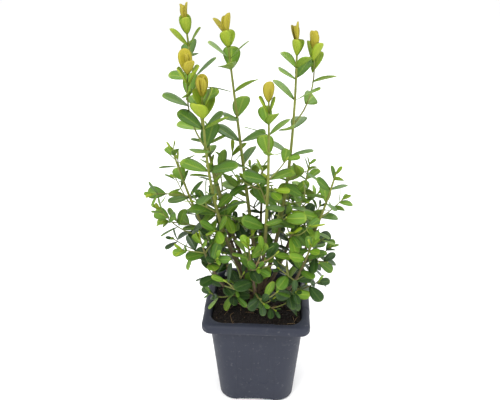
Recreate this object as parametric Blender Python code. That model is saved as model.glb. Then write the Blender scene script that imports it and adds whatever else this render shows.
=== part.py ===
"""Potted common boxwood: a young evergreen shrub with many stems, in a square nursery pot.

Metres, +Z up. The origin is the middle of the pot's underside and the front faces -Y. Every shoot is one
smooth curve that carries opposite pairs of leaves, each pair a quarter turn on from the pair before it.
A bough is the bare lower stretch of a main shoot. A mass is its leafy upper stretch, with the side shoots
and leaves that grow from it joined into one solid.
"""

import math

import bmesh
import bpy
import numpy as np
from mathutils.bvhtree import BVHTree

# The pot
RIM_WIDTH = 0.090
POT_HEIGHT = 0.092
BODY_TOP_WIDTH = 0.079
BODY_FOOT_WIDTH = 0.066
WALL = 0.0014
FLOOR = 0.0022
SKIRT_DROP = 0.0074
RIM_CORNER = 0.0085
BODY_CORNER = 0.013
FOOT_CORNER = 0.0155
CORNER_STEPS = 4
TAB_WIDTH = 0.031
TAB_SLANT = 0.0035
PANEL_WIDTH = 0.032
PANEL_DEPTH = 0.0005
ARCH_HEIGHT = 0.0024
ARCH_WIDTH = 0.015
ARCH_STEP_WIDTH = 0.032
ARCH_REACH = 0.012
DRAIN_RADIUS = 0.0042
DRAIN_OFFSET = 0.0165
GAP = 0.0003

# The soil and the stem's foot
SOIL_TOP = 0.0850
SOIL_BUMP = 0.0011
SEAT_RADIUS = 0.010
FOOT_HEIGHT = 0.009
FOOT_CENTRE = (0.0, 0.005)
FLARE_RADIUS = 0.0075
FOOT_RADIUS = 0.0056
FOOT_SIDES = 12
TOP_SEAT = 0.0037
SIDE_SEAT_RISE = 0.0054

# Boughs, stems and side shoots
BOUGH_RADII = (0.0017, 0.0014)
STEM_RADII = (0.0014, 0.0009)
SIDE_RADII = (0.0010, 0.0008)
BOUGH_SIDES = 5
BOUGH_POINTS = 5
STEM_SIDES = 4
STEM_POINTS = 6
SIDE_SIDES = 3
SIDE_POINTS = 3
PATH_STEPS = 48
SIDE_STEPS = 12
SIDE_START = 3
SHORTEST_SIDE = 7
LOWEST_TWIG = 0.0905

# The leaf's outline, as shares of its length and width, from its root round its blunt tip
OUTLINE = np.array([[0.0, 0.0], [0.45, -0.5], [0.93, -0.27], [0.93, 0.27], [0.45, 0.5]])
WHOLE_OUTLINE = np.array([[-0.03, 0.0], [0.45, -0.54], [0.97, -0.30], [0.97, 0.30], [0.45, 0.54]])
BLADE_OUTLINE = np.array([[0.14, 0.0], [0.45, -0.55], [0.98, -0.32], [0.98, 0.32], [0.45, 0.55]])
WHOLE_DEPTH = (0.0011, 0.0003)
BLADE_DEPTH = (0.0003, 0.0003)
ROOT_SUNK = 0.0003
KEEL = 0.035

# How a shoot carries its leaves, from its tip down: the gap to the next pair as a share of the full gap, each
# pair's length as a share of the full leaf, and how far its leaves open from the stem in degrees
HABITS = {
    "leader": dict(gap=0.021, steps=(0.05, 0.40, 0.38, 0.36, 0.80, 1.0), sizes=(0.60, 0.68, 0.66, 0.84, 1.0),
                   openings=(8, 16, 28, 46, 58, 62, 66), roll=16, lift=0.35, droop=0.0, level_from=5),
    "low": dict(gap=0.0150, steps=(0.3, 0.6, 0.85, 1.0), sizes=(0.50, 0.70, 0.90, 1.0),
                openings=(26, 44, 56, 62, 66), roll=16, lift=0.62, droop=0.12, level_from=0),
    "side": dict(gap=0.0130, steps=(0.3, 0.6, 0.85, 1.0), sizes=(0.50, 0.72, 0.92, 1.0),
                 openings=(28, 45, 58, 64), roll=16, lift=0.62, droop=0.12, level_from=0),
}
STEM_END = 0.004

# Main shoots: the bend and tip of the curve, the share of it that is a bare bough, the direction of its seat on
# the foot, the full leaf, the turn of its top pair, the longest side shoot, and the first pair with side shoots.
# A fork is a long side shoot with a place of its own: the height where it leaves the stem, its tip and its habit.
SHOOTS = {
    "front_left": dict(habit="leader", bend=(-0.042, -0.008, 0.165), tip=(-0.039, -0.025, 0.279), bare=0.36,
                       seat=216, leaf=0.022, turn=-10, side=0.030, side_from=6, seed=1,
                       forks=((0.238, (-0.049, -0.021, 0.294), "leader"),)),
    "back_left": dict(habit="leader", bend=(-0.044, 0.020, 0.190), tip=(-0.0555, 0.020, 0.322), bare=0.44,
                      seat=144, leaf=0.020, turn=100, side=0.030, side_from=7, seed=2, forks=()),
    "back_middle": dict(habit="leader", bend=(-0.012, 0.014, 0.200), tip=(-0.0245, 0.015, 0.314), bare=0.40,
                        seat=72, leaf=0.021, turn=80, side=0.028, side_from=7, seed=3, forks=()),
    "centre": dict(habit="leader", bend=(0.010, -0.020, 0.175), tip=(0.0075, -0.012, 0.272), bare=0.32,
                   seat=288, leaf=0.020, turn=20, side=0.030, side_from=6, seed=4, forks=()),
    "right": dict(habit="leader", bend=(0.029, 0.006, 0.185), tip=(0.027, 0.012, 0.309), bare=0.38,
                  seat=0, leaf=0.020, turn=60, side=0.032, side_from=7, seed=5,
                  forks=((0.248, (0.0395, 0.018, 0.303), "leader"),)),
    "low_left": dict(habit="low", bend=(-0.042, 0.004, 0.125), tip=(-0.068, 0.004, 0.226), bare=0.26,
                     seat=180, leaf=0.018, turn=30, side=0.042, side_from=2, seed=6,
                     forks=((0.150, (-0.078, -0.012, 0.182), "side"), (0.112, (-0.047, -0.006, 0.117), "side"))),
    "low_right": dict(habit="low", bend=(0.042, 0.002, 0.120), tip=(0.060, -0.004, 0.212), bare=0.26,
                      seat=0, leaf=0.018, turn=30, side=0.042, side_from=2, seed=7,
                      forks=((0.145, (0.062, -0.008, 0.176), "side"), (0.118, (0.060, 0.004, 0.141), "side"))),
    "low_front_left": dict(habit="low", bend=(-0.030, -0.022, 0.100), tip=(-0.044, -0.030, 0.165), bare=0.26,
                           seat=225, leaf=0.018, turn=30, side=0.034, side_from=2, seed=8, forks=()),
    "low_front_right": dict(habit="low", bend=(0.028, -0.022, 0.098), tip=(0.042, -0.034, 0.165), bare=0.26,
                            seat=315, leaf=0.018, turn=30, side=0.034, side_from=2, seed=9,
                            forks=((0.105, (0.050, -0.028, 0.128), "side"),)),
    "low_back_left": dict(habit="low", bend=(-0.025, 0.030, 0.110), tip=(-0.042, 0.044, 0.195), bare=0.26,
                          seat=135, leaf=0.018, turn=30, side=0.040, side_from=2, seed=10, forks=()),
    "low_back_right": dict(habit="low", bend=(0.028, 0.030, 0.110), tip=(0.042, 0.042, 0.200), bare=0.26,
                           seat=45, leaf=0.018, turn=30, side=0.040, side_from=2, seed=11, forks=()),
    "low_back": dict(habit="low", bend=(0.0, 0.034, 0.105), tip=(0.002, 0.046, 0.195), bare=0.26,
                     seat=90, leaf=0.018, turn=30, side=0.040, side_from=2, seed=12, forks=()),
    "low_front": dict(habit="low", bend=(0.0, -0.026, 0.098), tip=(-0.006, -0.036, 0.165), bare=0.26,
                      seat=270, leaf=0.018, turn=30, side=0.034, side_from=2, seed=13,
                      forks=((0.101, (0.015, -0.031, 0.101), "side"),)),
}
SIDE_LEAF = 0.017

# How close leaves and twigs may come to each other, to another mass's space, to the soil and to the rim
SPACE_SLACK = 0.005
ROOM_GAP = 0.0006
ROOM_SIDES = 6
ROOM_REACH = 0.003
LEAF_CLOSE = 0.003
LOWEST_LEAF = 0.0882
RIM_CLEAR = 0.003
INSIDE_RIM = 0.037
WHOLE_SHARE = 0.97

COLOURS = {
    "pot": ((0.040, 0.043, 0.056), 0.45),
    "soil": ((0.018, 0.013, 0.010), 0.95),
    "bark": ((0.120, 0.085, 0.045), 0.80),
    "leader": ((0.160, 0.300, 0.040), 0.40),
    "low": ((0.070, 0.180, 0.030), 0.40),
}

UP = np.array([0.0, 0.0, 1.0])
FOOT = np.array([FOOT_CENTRE[0], FOOT_CENTRE[1], SOIL_TOP + GAP])


def clear_scene():
    for obj in list(bpy.data.objects):
        bpy.data.objects.remove(obj)


def material(name, colour, roughness):
    made = bpy.data.materials.new(name)
    made.use_nodes = True
    shader = made.node_tree.nodes["Principled BSDF"]
    shader.inputs["Base Color"].default_value = (*colour, 1.0)
    shader.inputs["Roughness"].default_value = roughness
    shader.inputs["Metallic"].default_value = 0.0
    made.diffuse_color = (*colour, 1.0)
    return made


def new_object(name, points, faces, finish=None, smooth_under=None):
    mesh = bpy.data.meshes.new(name)
    mesh.from_pydata([tuple(p) for p in points], [], faces)
    mesh.update()
    if smooth_under is not None:
        mesh.shade_smooth()
        mesh.set_sharp_from_angle(angle=math.radians(smooth_under))
    obj = bpy.data.objects.new(name, mesh)
    bpy.context.scene.collection.objects.link(obj)
    if finish is not None:
        mesh.materials.append(finish)
    return obj


def rounded_square(half, corner, z):
    """One ring of points, anticlockwise seen from above: a square whose corners are arcs."""
    ring = []
    for quarter in range(4):
        for step in range(CORNER_STEPS + 1):
            angle = math.radians(90 * quarter + 90 * step / CORNER_STEPS)
            sx, sy = ((1, 1), (-1, 1), (-1, -1), (1, -1))[quarter]
            ring.append((sx * (half - corner) + corner * math.cos(angle),
                         sy * (half - corner) + corner * math.sin(angle), z))
    return ring


def loft(rings):
    """Points and faces of a skin over rings of one size, closed at both ends, facing out when they rise."""
    count = len(rings[0])
    points = [p for ring in rings for p in ring]
    faces = [tuple(reversed(range(count)))]
    for low in range(len(rings) - 1):
        for i in range(count):
            j = (i + 1) % count
            faces.append((low * count + i, low * count + j, (low + 1) * count + j, (low + 1) * count + i))
    faces.append(tuple(range((len(rings) - 1) * count, len(rings) * count)))
    return points, faces


def wall_half(z):
    """Half the body's outer width at a height, on its straight taper."""
    top = POT_HEIGHT - SKIRT_DROP
    return (BODY_FOOT_WIDTH + (BODY_TOP_WIDTH - BODY_FOOT_WIDTH) * z / top) / 2


def wall_corner(z):
    top = POT_HEIGHT - SKIRT_DROP
    return FOOT_CORNER + (BODY_CORNER - FOOT_CORNER) * z / top


def boolean(obj, operation, other=None, collection=None, solver="EXACT"):
    """Cuts or joins at once, so that no modifier and no helper is left."""
    step = obj.modifiers.new(operation.title(), "BOOLEAN")
    step.operation = operation
    step.solver = solver
    if collection is None:
        step.object = other
    else:
        step.operand_type = "COLLECTION"
        step.collection = collection
    bpy.context.view_layer.update()
    graph = bpy.context.evaluated_depsgraph_get()
    joined = bpy.data.meshes.new_from_object(obj.evaluated_get(graph))
    obj.modifiers.clear()
    obj.data = joined


def cut(obj, points, faces):
    tool = new_object("cutter", points, faces)
    tool.hide_render = True
    tool.display_type = "WIRE"
    boolean(obj, "DIFFERENCE", other=tool)
    bpy.data.objects.remove(tool)


def box(x0, x1, y0, y1, z0, z1, slant=0.0):
    """A block whose upper face is narrower by the slant at each end."""
    low = [(x0, y0, z0), (x1, y0, z0), (x1, y1, z0), (x0, y1, z0)]
    high = [(x0 + slant, y0, z1), (x1 - slant, y0, z1), (x1 - slant, y1, z1), (x0 + slant, y1, z1)]
    return loft([low, high])


def turned(points, quarter):
    """The same points a number of quarter turns round the pot's axis."""
    c, s = ((1, 0), (0, 1), (-1, 0), (0, -1))[quarter]
    return [(c * x - s * y, s * x + c * y, z) for x, y, z in points]


def make_pot(finish):
    """Tapered body, rim that rolls out and down into a skirt, a tab in each side of the rim, and arched feet."""
    rim = RIM_WIDTH / 2
    under = POT_HEIGHT - SKIRT_DROP
    inner = wall_half(under) - WALL
    outside = [
        (wall_half(0.0) - 0.0016, FOOT_CORNER - 0.0016, 0.0),
        (wall_half(0.0016), FOOT_CORNER, 0.0016),
        (wall_half(under), BODY_CORNER, under),
        (rim - 0.0002, RIM_CORNER, under),
        (rim, RIM_CORNER, under + 0.0028),
        (rim - 0.0010, RIM_CORNER, POT_HEIGHT - 0.0020),
        (rim - 0.0030, RIM_CORNER, POT_HEIGHT - 0.0005),
        (inner + 0.0014, 0.0100, POT_HEIGHT),
        (inner + 0.0004, 0.0110, POT_HEIGHT - 0.0012),
        (inner, BODY_CORNER - WALL, under - 0.0010),
        (wall_half(FLOOR) - WALL, FOOT_CORNER - WALL, FLOOR),
    ]
    pot = new_object("pot", *loft([rounded_square(*ring) for ring in outside]), finish, smooth_under=35)
    tab_low, tab_high = under + 0.0012, POT_HEIGHT + 0.0004
    for quarter in range(4):
        half = TAB_WIDTH / 2 + TAB_SLANT
        points, faces = box(-half, half, -rim - 0.0004, -inner - 0.0016, tab_low, tab_high, TAB_SLANT)
        tab = new_object("tab", turned(points, quarter), faces)
        boolean(pot, "UNION", other=tab)
        bpy.data.objects.remove(tab)
        cut_side(pot, quarter)
    for sx in (-1, 1):
        for sy in (-1, 1):
            ring = [(sx * DRAIN_OFFSET + DRAIN_RADIUS * math.cos(a), sy * DRAIN_OFFSET + DRAIN_RADIUS * math.sin(a))
                    for a in (2 * math.pi * i / 12 for i in range(12))]
            cut(pot, *loft([[(x, y, -0.001) for x, y in ring], [(x, y, FLOOR + 0.001) for x, y in ring]]))
    return pot


def cut_side(pot, quarter):
    """The shallow panel down the middle of one side, and the arch under it in two steps."""
    top = POT_HEIGHT - SKIRT_DROP - 0.0004
    low = 0.0
    near, far = wall_half(low) - PANEL_DEPTH, wall_half(top) - PANEL_DEPTH
    half = PANEL_WIDTH / 2
    foot = [(-half, -near - 0.004, low - 0.001), (half, -near - 0.004, low - 0.001),
            (half, -near, low - 0.001), (-half, -near, low - 0.001)]
    head = [(-half, -far - 0.004, top), (half, -far - 0.004, top), (half, -far, top), (-half, -far, top)]
    points, faces = loft([foot, head])
    cut(pot, turned(points, quarter), faces)
    edge = wall_half(0.0) + 0.003
    for width, height, reach in ((ARCH_STEP_WIDTH, ARCH_HEIGHT / 2, ARCH_REACH),
                                 (ARCH_WIDTH, ARCH_HEIGHT - 0.0006, ARCH_REACH - 0.002)):
        points, faces = box(-width / 2, width / 2, -edge, -edge + reach, -0.001, height, 0.002)
        cut(pot, turned(points, quarter), faces)


def soil_height(x, y):
    """The soil's crumbly surface: three crossing waves that fade out towards the stem's flat seat."""
    wave = (math.sin(310 * x + 1.3) * math.cos(270 * y) + 0.6 * math.sin(520 * y + 190 * x)
            + 0.5 * math.cos(610 * x - 420 * y + 0.7))
    away = math.hypot(x - FOOT_CENTRE[0], y - FOOT_CENTRE[1]) - SEAT_RADIUS
    return SOIL_TOP + SOIL_BUMP * 0.5 * wave * min(1.0, max(0.0, away / 0.008))


def make_soil(finish):
    """The filling of the pot: its sides follow the wall, and its top is flat only under the stem's foot."""
    rings = []
    for z in (FLOOR + GAP, 0.040, SOIL_TOP - 0.004):
        rings.append(rounded_square(wall_half(z) - WALL - GAP, wall_corner(z) - WALL - GAP, z))
    edge = wall_half(SOIL_TOP - 0.004) - WALL - GAP
    corner = BODY_CORNER - WALL - GAP
    for share in (0.985, 0.86, 0.72, 0.58, 0.44, 0.32):
        ring = rounded_square(edge * share, corner * share, 0.0)
        shift = (1 - share) * FOOT_CENTRE[1]
        rings.append([(x, y + shift, soil_height(x, y + shift)) for x, y, _ in ring])
    seat = [(FOOT_CENTRE[0] + 0.6 * SEAT_RADIUS * math.cos(a), FOOT_CENTRE[1] + 0.6 * SEAT_RADIUS * math.sin(a))
            for a in np.radians([90 * q + 90 * s / CORNER_STEPS for q in range(4) for s in range(CORNER_STEPS + 1)])]
    seat = [(x + 0.002 * math.copysign(1, x - FOOT_CENTRE[0]), y + 0.002 * math.copysign(1, y - FOOT_CENTRE[1]),
             SOIL_TOP) for x, y in seat]
    rings.append(seat)
    return new_object("soil", *loft(rings), finish, smooth_under=40)


def make_foot(finish):
    """The short stem at ground level: a flared root collar that narrows and then swells where the boughs sit."""
    rings = []
    for rise, radius in ((0.0, FLARE_RADIUS), (0.002, 0.0058), (0.005, FOOT_RADIUS - 0.0004),
                         (FOOT_HEIGHT - 0.001, FOOT_RADIUS), (FOOT_HEIGHT, FOOT_RADIUS - 0.0006)):
        ring = []
        for i in range(FOOT_SIDES):
            angle = 2 * math.pi * i / FOOT_SIDES
            lobe = 1 + 0.10 * math.cos(5 * angle + 0.4) * (1 - rise / FOOT_HEIGHT)
            ring.append((FOOT[0] + radius * lobe * math.cos(angle), FOOT[1] + radius * lobe * math.sin(angle),
                         FOOT[2] + rise))
        rings.append(ring)
    return new_object("stem_foot", *loft(rings), finish, smooth_under=50)


def unit(vector):
    return vector / np.linalg.norm(vector)


def curve(start, bend, tip, steps):
    """A smooth curve from start to tip that bends towards its middle point: a quadratic Bezier."""
    t = np.linspace(0, 1, steps + 1)[:, None]
    start, bend, tip = (np.array(p, float) for p in (start, bend, tip))
    return (1 - t) ** 2 * start + 2 * t * (1 - t) * bend + t ** 2 * tip


def run_of(path):
    """The distance along the path at each of its points."""
    return np.concatenate([[0.0], np.cumsum(np.linalg.norm(np.diff(path, axis=0), axis=1))])


def place_on(path, distance):
    """The point and the heading at a distance along the path."""
    run = run_of(path)
    distance = min(max(distance, 0.0), run[-1])
    point = np.array([np.interp(distance, run, path[:, i]) for i in range(3)])
    after = min(max(int(np.searchsorted(run, distance)), 1), len(path) - 1)
    return point, unit(path[after] - path[after - 1])


def across(heading):
    """Two directions square to the heading and to each other."""
    first = unit(np.cross(heading, (0.0, 1.0, 0.0) if abs(heading[1]) < 0.9 else (1.0, 0.0, 0.0)))
    return first, np.cross(heading, first)


def leaf_corners(leaf, outline):
    """The corners of a leaf's outline in its own plane."""
    side = np.cross(leaf["normal"], leaf["along"])
    return leaf["root"] + leaf["length"] * outline[:, :1] * leaf["along"] + leaf["width"] * outline[:, 1:] * side


def tree_of(points, faces):
    return BVHTree.FromPolygons([tuple(p) for p in points], faces)


def slab(leaf, outline, depth):
    """A flat block round a leaf, as deep below and above its blade as given."""
    corners = leaf_corners(leaf, outline)
    return tree_of(*loft([corners - depth[0] * leaf["normal"], corners + depth[1] * leaf["normal"]]))


def leaf_room(leaf):
    """The room of a leaf: all of it with a gap round it, and its blade alone."""
    return dict(kind="leaf", mass=leaf["mass"], stem=leaf["stem"], root=leaf["root"],
                middle=leaf["root"] + 0.5 * leaf["length"] * leaf["along"], reach=0.6 * leaf["length"],
                whole=slab(leaf, WHOLE_OUTLINE, WHOLE_DEPTH), core=slab(leaf, BLADE_OUTLINE, BLADE_DEPTH))


def limb_room(mass, stem, path, radius):
    """The room of a straight run of a limb: all of it with a gap round it, and its core."""
    wide = radius + ROOM_GAP
    return dict(kind="limb", mass=mass, stem=stem, root=path[0], middle=path.mean(axis=0),
                reach=0.5 * np.linalg.norm(path[-1] - path[0]) + wide,
                whole=tree_of(*limb(path, (wide, wide), ROOM_SIDES)),
                core=tree_of(*limb(path, (radius, radius), ROOM_SIDES)))


def are_kin(one, other):
    """True for a leaf and the shoot it grows on, and for leaves that share one place on a shoot."""
    if one["kind"] != other["kind"]:
        return one["stem"] == other["stem"]
    return one["kind"] == "leaf" and np.linalg.norm(one["root"] - other["root"]) < LEAF_CLOSE


class Plant:
    """Every shoot, side shoot and leaf, grown one after another, each only where it is free to stand."""

    def __init__(self):
        self.boughs, self.stems, self.spines, self.twigs, self.leaves = {}, {}, {}, [], []
        self.middles, self.reaches, self.rooms = np.empty((0, 3)), np.empty(0), []
        for name, shoot in SHOOTS.items():
            path = curve(self.seat(shoot), shoot["bend"], shoot["tip"], PATH_STEPS)
            split = round(shoot["bare"] * PATH_STEPS)
            self.boughs[name] = thinned(path[:split + 1], BOUGH_POINTS)
            self.stems[name] = thinned(path[split:], STEM_POINTS)
            self.spines[name] = path[split::2]
            self.take_limb("", name, self.boughs[name], BOUGH_RADII[0])

    def take_room(self, room):
        self.middles = np.vstack([self.middles, room["middle"]])
        self.reaches = np.append(self.reaches, room["reach"])
        self.rooms.append(room)

    def take_limb(self, mass, stem, path, radius):
        for i in range(len(path) - 1):
            self.take_room(limb_room(mass, stem, path[i:i + 2], radius))

    def is_free(self, room, inside=True):
        """True where nothing is in the way: all of a thing counts between masses, its core inside one."""
        away = np.linalg.norm(self.middles - room["middle"], axis=1) - self.reaches - room["reach"]
        for i in np.flatnonzero(away < ROOM_REACH):
            other = self.rooms[i]
            if other["mass"] != room["mass"]:
                if room["whole"].overlap(other["whole"]):
                    return False
            elif inside and not are_kin(room, other) and room["core"].overlap(other["core"]):
                return False
        return True

    def seat(self, shoot):
        """Where a main shoot leaves the foot: leaders on its top, low shoots round its side, all a gap clear."""
        angle = math.radians(shoot["seat"])
        out = np.array([math.cos(angle), math.sin(angle), 0.0])
        if shoot["habit"] == "leader":
            seat = FOOT + TOP_SEAT * out + (FOOT_HEIGHT + GAP) * UP
            return seat + BOUGH_RADII[0] * np.linalg.norm(unit(shoot["bend"] - seat)[:2]) * UP
        seat = FOOT + (FOOT_RADIUS + GAP) * out + SIDE_SEAT_RISE * UP
        return seat + BOUGH_RADII[0] * abs(unit(shoot["bend"] - seat)[2]) * out

    def in_space(self, points, name):
        """True where no point is much nearer to another mass's stem than to this one's."""
        far = {key: np.linalg.norm(points[:, None] - spine[None], axis=2).min(axis=1)
               for key, spine in self.spines.items()}
        return all((far[name] < far[key] + 2 * SPACE_SLACK).all() for key in far if key != name)

    def add_leaf(self, leaf):
        """Keeps the leaf if it clears the soil and the rim, stays in its mass's space and touches nothing."""
        corners = leaf_corners(leaf, WHOLE_OUTLINE)
        low, wide = corners[:, 2].min(), np.abs(corners[:, :2]).max()
        if low < LOWEST_LEAF or (low < POT_HEIGHT + RIM_CLEAR and wide > INSIDE_RIM):
            return
        room = leaf_room(leaf)
        if self.in_space(corners[1:], leaf["mass"]) and self.is_free(room):
            self.leaves.append(leaf)
            self.take_room(room)

    def add_twig(self, name, stem, path, radii, sides):
        self.twigs.append(dict(mass=name, path=path, radii=radii, sides=sides))
        self.take_limb(name, stem, path, radii[0])

    def free_points(self, name, path):
        """How many points of a side shoot's path are free, counted from its base."""
        for i in range(1, len(path)):
            room = limb_room(name, None, path[i - 1:i + 1], SIDE_RADII[0])
            if path[i, 2] < LOWEST_TWIG or not self.in_space(path[i:i + 1], name):
                return i
            if not self.is_free(room, inside=i >= SIDE_START):
                return i
        return len(path)

    def is_clear(self, name, path):
        """True where the straight runs of a thinned path touch nothing outside their own mass."""
        return all(self.is_free(limb_room(name, None, path[i:i + 2], SIDE_RADII[0]), inside=False)
                   for i in range(len(path) - 1))

    def grow_leaves(self, name, stem, path, habit, leaf_length, turn, rng):
        """Pairs of leaves from the tip down. Returns each pair's distance, index and side direction."""
        rule = HABITS[habit]
        run = run_of(path)[-1]
        nodes, down, index = [], 0.0, 0
        while run - down > STEM_END:
            point, heading = place_on(path, run - down)
            first, second = across(heading)
            angle = math.radians(turn + 90 * index + rng.normal(0, 7))
            side = math.cos(angle) * first + math.sin(angle) * second
            for sign in (-1, 1):
                leaf = self.leaf_at(point, heading, sign * side, rule, index, leaf_length, rng)
                self.add_leaf(dict(leaf, mass=name, stem=stem))
            nodes.append((run - down, index, side))
            down += rule["gap"] * rule["steps"][min(index, len(rule["steps"]) - 1)] * rng.uniform(0.92, 1.08)
            index += 1
        return nodes

    def leaf_at(self, point, heading, side, rule, index, leaf_length, rng):
        """One leaf: it opens from the stem, droops a little, and turns its face up and out to the light."""
        opening = math.radians(rule["openings"][min(index, len(rule["openings"]) - 1)] + rng.normal(0, 6))
        along = unit(math.cos(opening) * heading + math.sin(opening) * side - rule["droop"] * UP)
        out = np.array([point[0] - FOOT[0], point[1] - FOOT[1], 0.0])
        light = unit(0.8 * UP + 0.6 * out / (np.linalg.norm(out) + 0.008))
        lift = rule["lift"] if index >= rule["level_from"] else 0.0
        normal = (1 - lift) * (math.sin(opening) * heading - math.cos(opening) * side) + lift * light
        normal = unit(normal - along * (normal @ along))
        roll = math.radians(rng.normal(0, rule["roll"]))
        normal = math.cos(roll) * normal + math.sin(roll) * np.cross(along, normal)
        length = leaf_length * rule["sizes"][min(index, len(rule["sizes"]) - 1)] * rng.uniform(0.9, 1.1)
        slim = (0.42, 0.52)[index] if index < 2 else rng.uniform(0.54, 0.64)
        return dict(root=point, along=along, normal=normal, length=length, width=length * slim, index=index,
                    habit=rule)

    def grow_fork(self, name, shoot, height, tip, habit, rng):
        """A side shoot to a tip of its own: it leaves the stem at a slant and then rises to its tip."""
        stem = self.stems[name]
        base, heading = place_on(stem, np.interp(height, stem[:, 2], run_of(stem)))
        reach = tip - base
        slant = unit(unit(reach) + 0.9 * unit(reach - heading * (reach @ heading)))
        path = curve(base, base + 0.5 * np.linalg.norm(reach) * slant, tip, SIDE_STEPS)
        self.grow_along(name, path, habit, shoot["leaf"], rng)

    def grow_side(self, name, distance, out, length, rise, rng):
        """A side shoot from a leaf's axil: it leaves the stem at a slant and turns towards its own rise."""
        base, heading = place_on(self.stems[name], distance)
        flat = unit(out - heading * (out @ heading))
        slant = unit(0.75 * flat + 0.65 * heading)
        level = np.array([flat[0], flat[1], 0.0])
        if np.linalg.norm(level) < 0.2:
            level = np.array([base[0] - FOOT[0], base[1] - FOOT[1], 0.0])
        last = math.cos(math.radians(rise)) * unit(level) + math.sin(math.radians(rise)) * UP
        tip = base + length * unit(0.45 * slant + 0.75 * last)
        self.grow_along(name, curve(base, base + 0.5 * length * slant, tip, SIDE_STEPS), "side", SIDE_LEAF, rng)

    def grow_along(self, name, path, habit, leaf_length, rng):
        """The free stretch of a side shoot, with its leaves."""
        turn = rng.uniform(0, 180)
        free = self.free_points(name, path)
        if free < SHORTEST_SIDE:
            return
        path = thinned(path[:free], SIDE_POINTS)
        if self.is_clear(name, path):
            stem = len(self.twigs)
            self.add_twig(name, stem, path, SIDE_RADII, SIDE_SIDES)
            self.grow_leaves(name, stem, path, habit, leaf_length, turn, rng)

    def grow(self):
        rngs = {name: np.random.default_rng(shoot["seed"]) for name, shoot in SHOOTS.items()}
        nodes = {}
        for name in SHOOTS:
            self.add_twig(name, name, self.stems[name], STEM_RADII, STEM_SIDES)
        for name, shoot in SHOOTS.items():
            nodes[name] = self.grow_leaves(name, name, self.stems[name], shoot["habit"], shoot["leaf"],
                                           shoot["turn"], rngs[name])
        for name, shoot in SHOOTS.items():
            for height, tip, habit in shoot["forks"]:
                self.grow_fork(name, shoot, height, np.array(tip), habit, rngs[name])
        for name, shoot in SHOOTS.items():
            for distance, index, side in nodes[name]:
                if index >= shoot["side_from"]:
                    self.grow_side_pair(name, shoot, distance, index, side, rngs[name])

    def grow_side_pair(self, name, shoot, distance, index, side, rng):
        """Two side shoots from one pair of leaves, longer the further the pair is from the tip."""
        share = min(1.0, 0.5 + 0.12 * (index - shoot["side_from"] + 1))
        for sign in (-1, 1):
            length = shoot["side"] * share * rng.uniform(0.6, 1.1)
            self.grow_side(name, distance, sign * side, length, rng.uniform(10, 50), rng)


def limb(path, radii, sides):
    """A tapering limb that bends: each ring is square to the path, and both ends are closed."""
    first, _ = across(unit(path[1] - path[0]))
    rings = []
    for i, point in enumerate(path):
        ahead = unit(path[min(i + 1, len(path) - 1)] - path[max(i - 1, 0)])
        first = unit(first - ahead * (first @ ahead))
        rings.append(ring_round(point, first, np.cross(ahead, first), share_of(radii, i, len(path)), sides))
    return loft(rings)


def twig(path, radii, sides):
    """A slender limb whose rings all face along its chord, so that its sides stay flat where leaves join it."""
    first, second = across(unit(path[-1] - path[0]))
    return loft([ring_round(point, first, second, share_of(radii, i, len(path)), sides)
                 for i, point in enumerate(path)])


def share_of(radii, i, count):
    return radii[0] + (radii[1] - radii[0]) * i / (count - 1)


def ring_round(point, first, second, radius, sides):
    """A ring of points round a point of a path, half a side on from its first direction."""
    return [point + radius * (math.cos(a) * first + math.sin(a) * second)
            for a in (2 * math.pi * (k + 0.5) / sides for k in range(sides))]


def thinned(path, points):
    """The path with only this many of its points, its two ends among them."""
    return path[np.linspace(0, len(path) - 1, points).round().astype(int)]


def leaf_solid(leaf):
    """A thin closed blade: its flat outline, and a keel point below its middle."""
    outline = leaf_corners(leaf, OUTLINE)
    outline[0] -= ROOT_SUNK * leaf["along"]
    keel = leaf["root"] + leaf["length"] * (0.45 * leaf["along"] - KEEL * leaf["normal"])
    count = len(outline)
    faces = [tuple(range(count))] + [((i + 1) % count, i, count) for i in range(count)]
    return [*outline, keel], faces


def bodies_of(work):
    """The faces of a mesh, sorted into the sets that hang together, the largest first."""
    bodies, left = [], set(work.faces)
    while left:
        body, edge = set(), [left.pop()]
        while edge:
            face = edge.pop()
            body.add(face)
            found = {other for line in face.edges for other in line.link_faces} & left
            left -= found
            edge += found
        bodies.append(body)
    return sorted(bodies, key=len, reverse=True)


def keep_main_body(obj):
    """Leaves one closed body: hollows that the joining sealed are filled, and loose scraps are dropped."""
    work = bmesh.new()
    work.from_mesh(obj.data)
    bmesh.ops.triangulate(work, faces=work.faces)
    main, *scraps = bodies_of(work)
    bmesh.ops.delete(work, geom=[face for body in scraps for face in body], context="FACES")
    whole = all(len(line.link_faces) == 2 for line in work.edges)
    work.to_mesh(obj.data)
    work.free()
    return whole and len(main) > WHOLE_SHARE * (len(main) + sum(len(body) for body in scraps))


def join(obj, group, least_faces):
    """One union of the object with a collection, by the exact solver, or the manifold one where that fails."""
    start = obj.data
    for solver in ("EXACT", "MANIFOLD"):
        obj.data = start.copy()
        boolean(obj, "UNION", collection=group, solver=solver)
        if keep_main_body(obj) and len(obj.data.polygons) > least_faces:
            return


def make_bough(name, path, finish):
    shape = limb(path, BOUGH_RADII, BOUGH_SIDES)
    return new_object("bough_" + name, *shape, finish, smooth_under=60)


def stem_path(path):
    """A stem's path, its base moved up until its first ring, square to its chord, clears the bough's end."""
    heading, chord = unit(path[1] - path[0]), unit(path[-1] - path[0])
    tilt = np.linalg.norm(np.cross(heading, chord))
    return np.vstack([path[0] + (GAP + STEM_RADII[0] * tilt) * heading, path[1:]])


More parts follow.
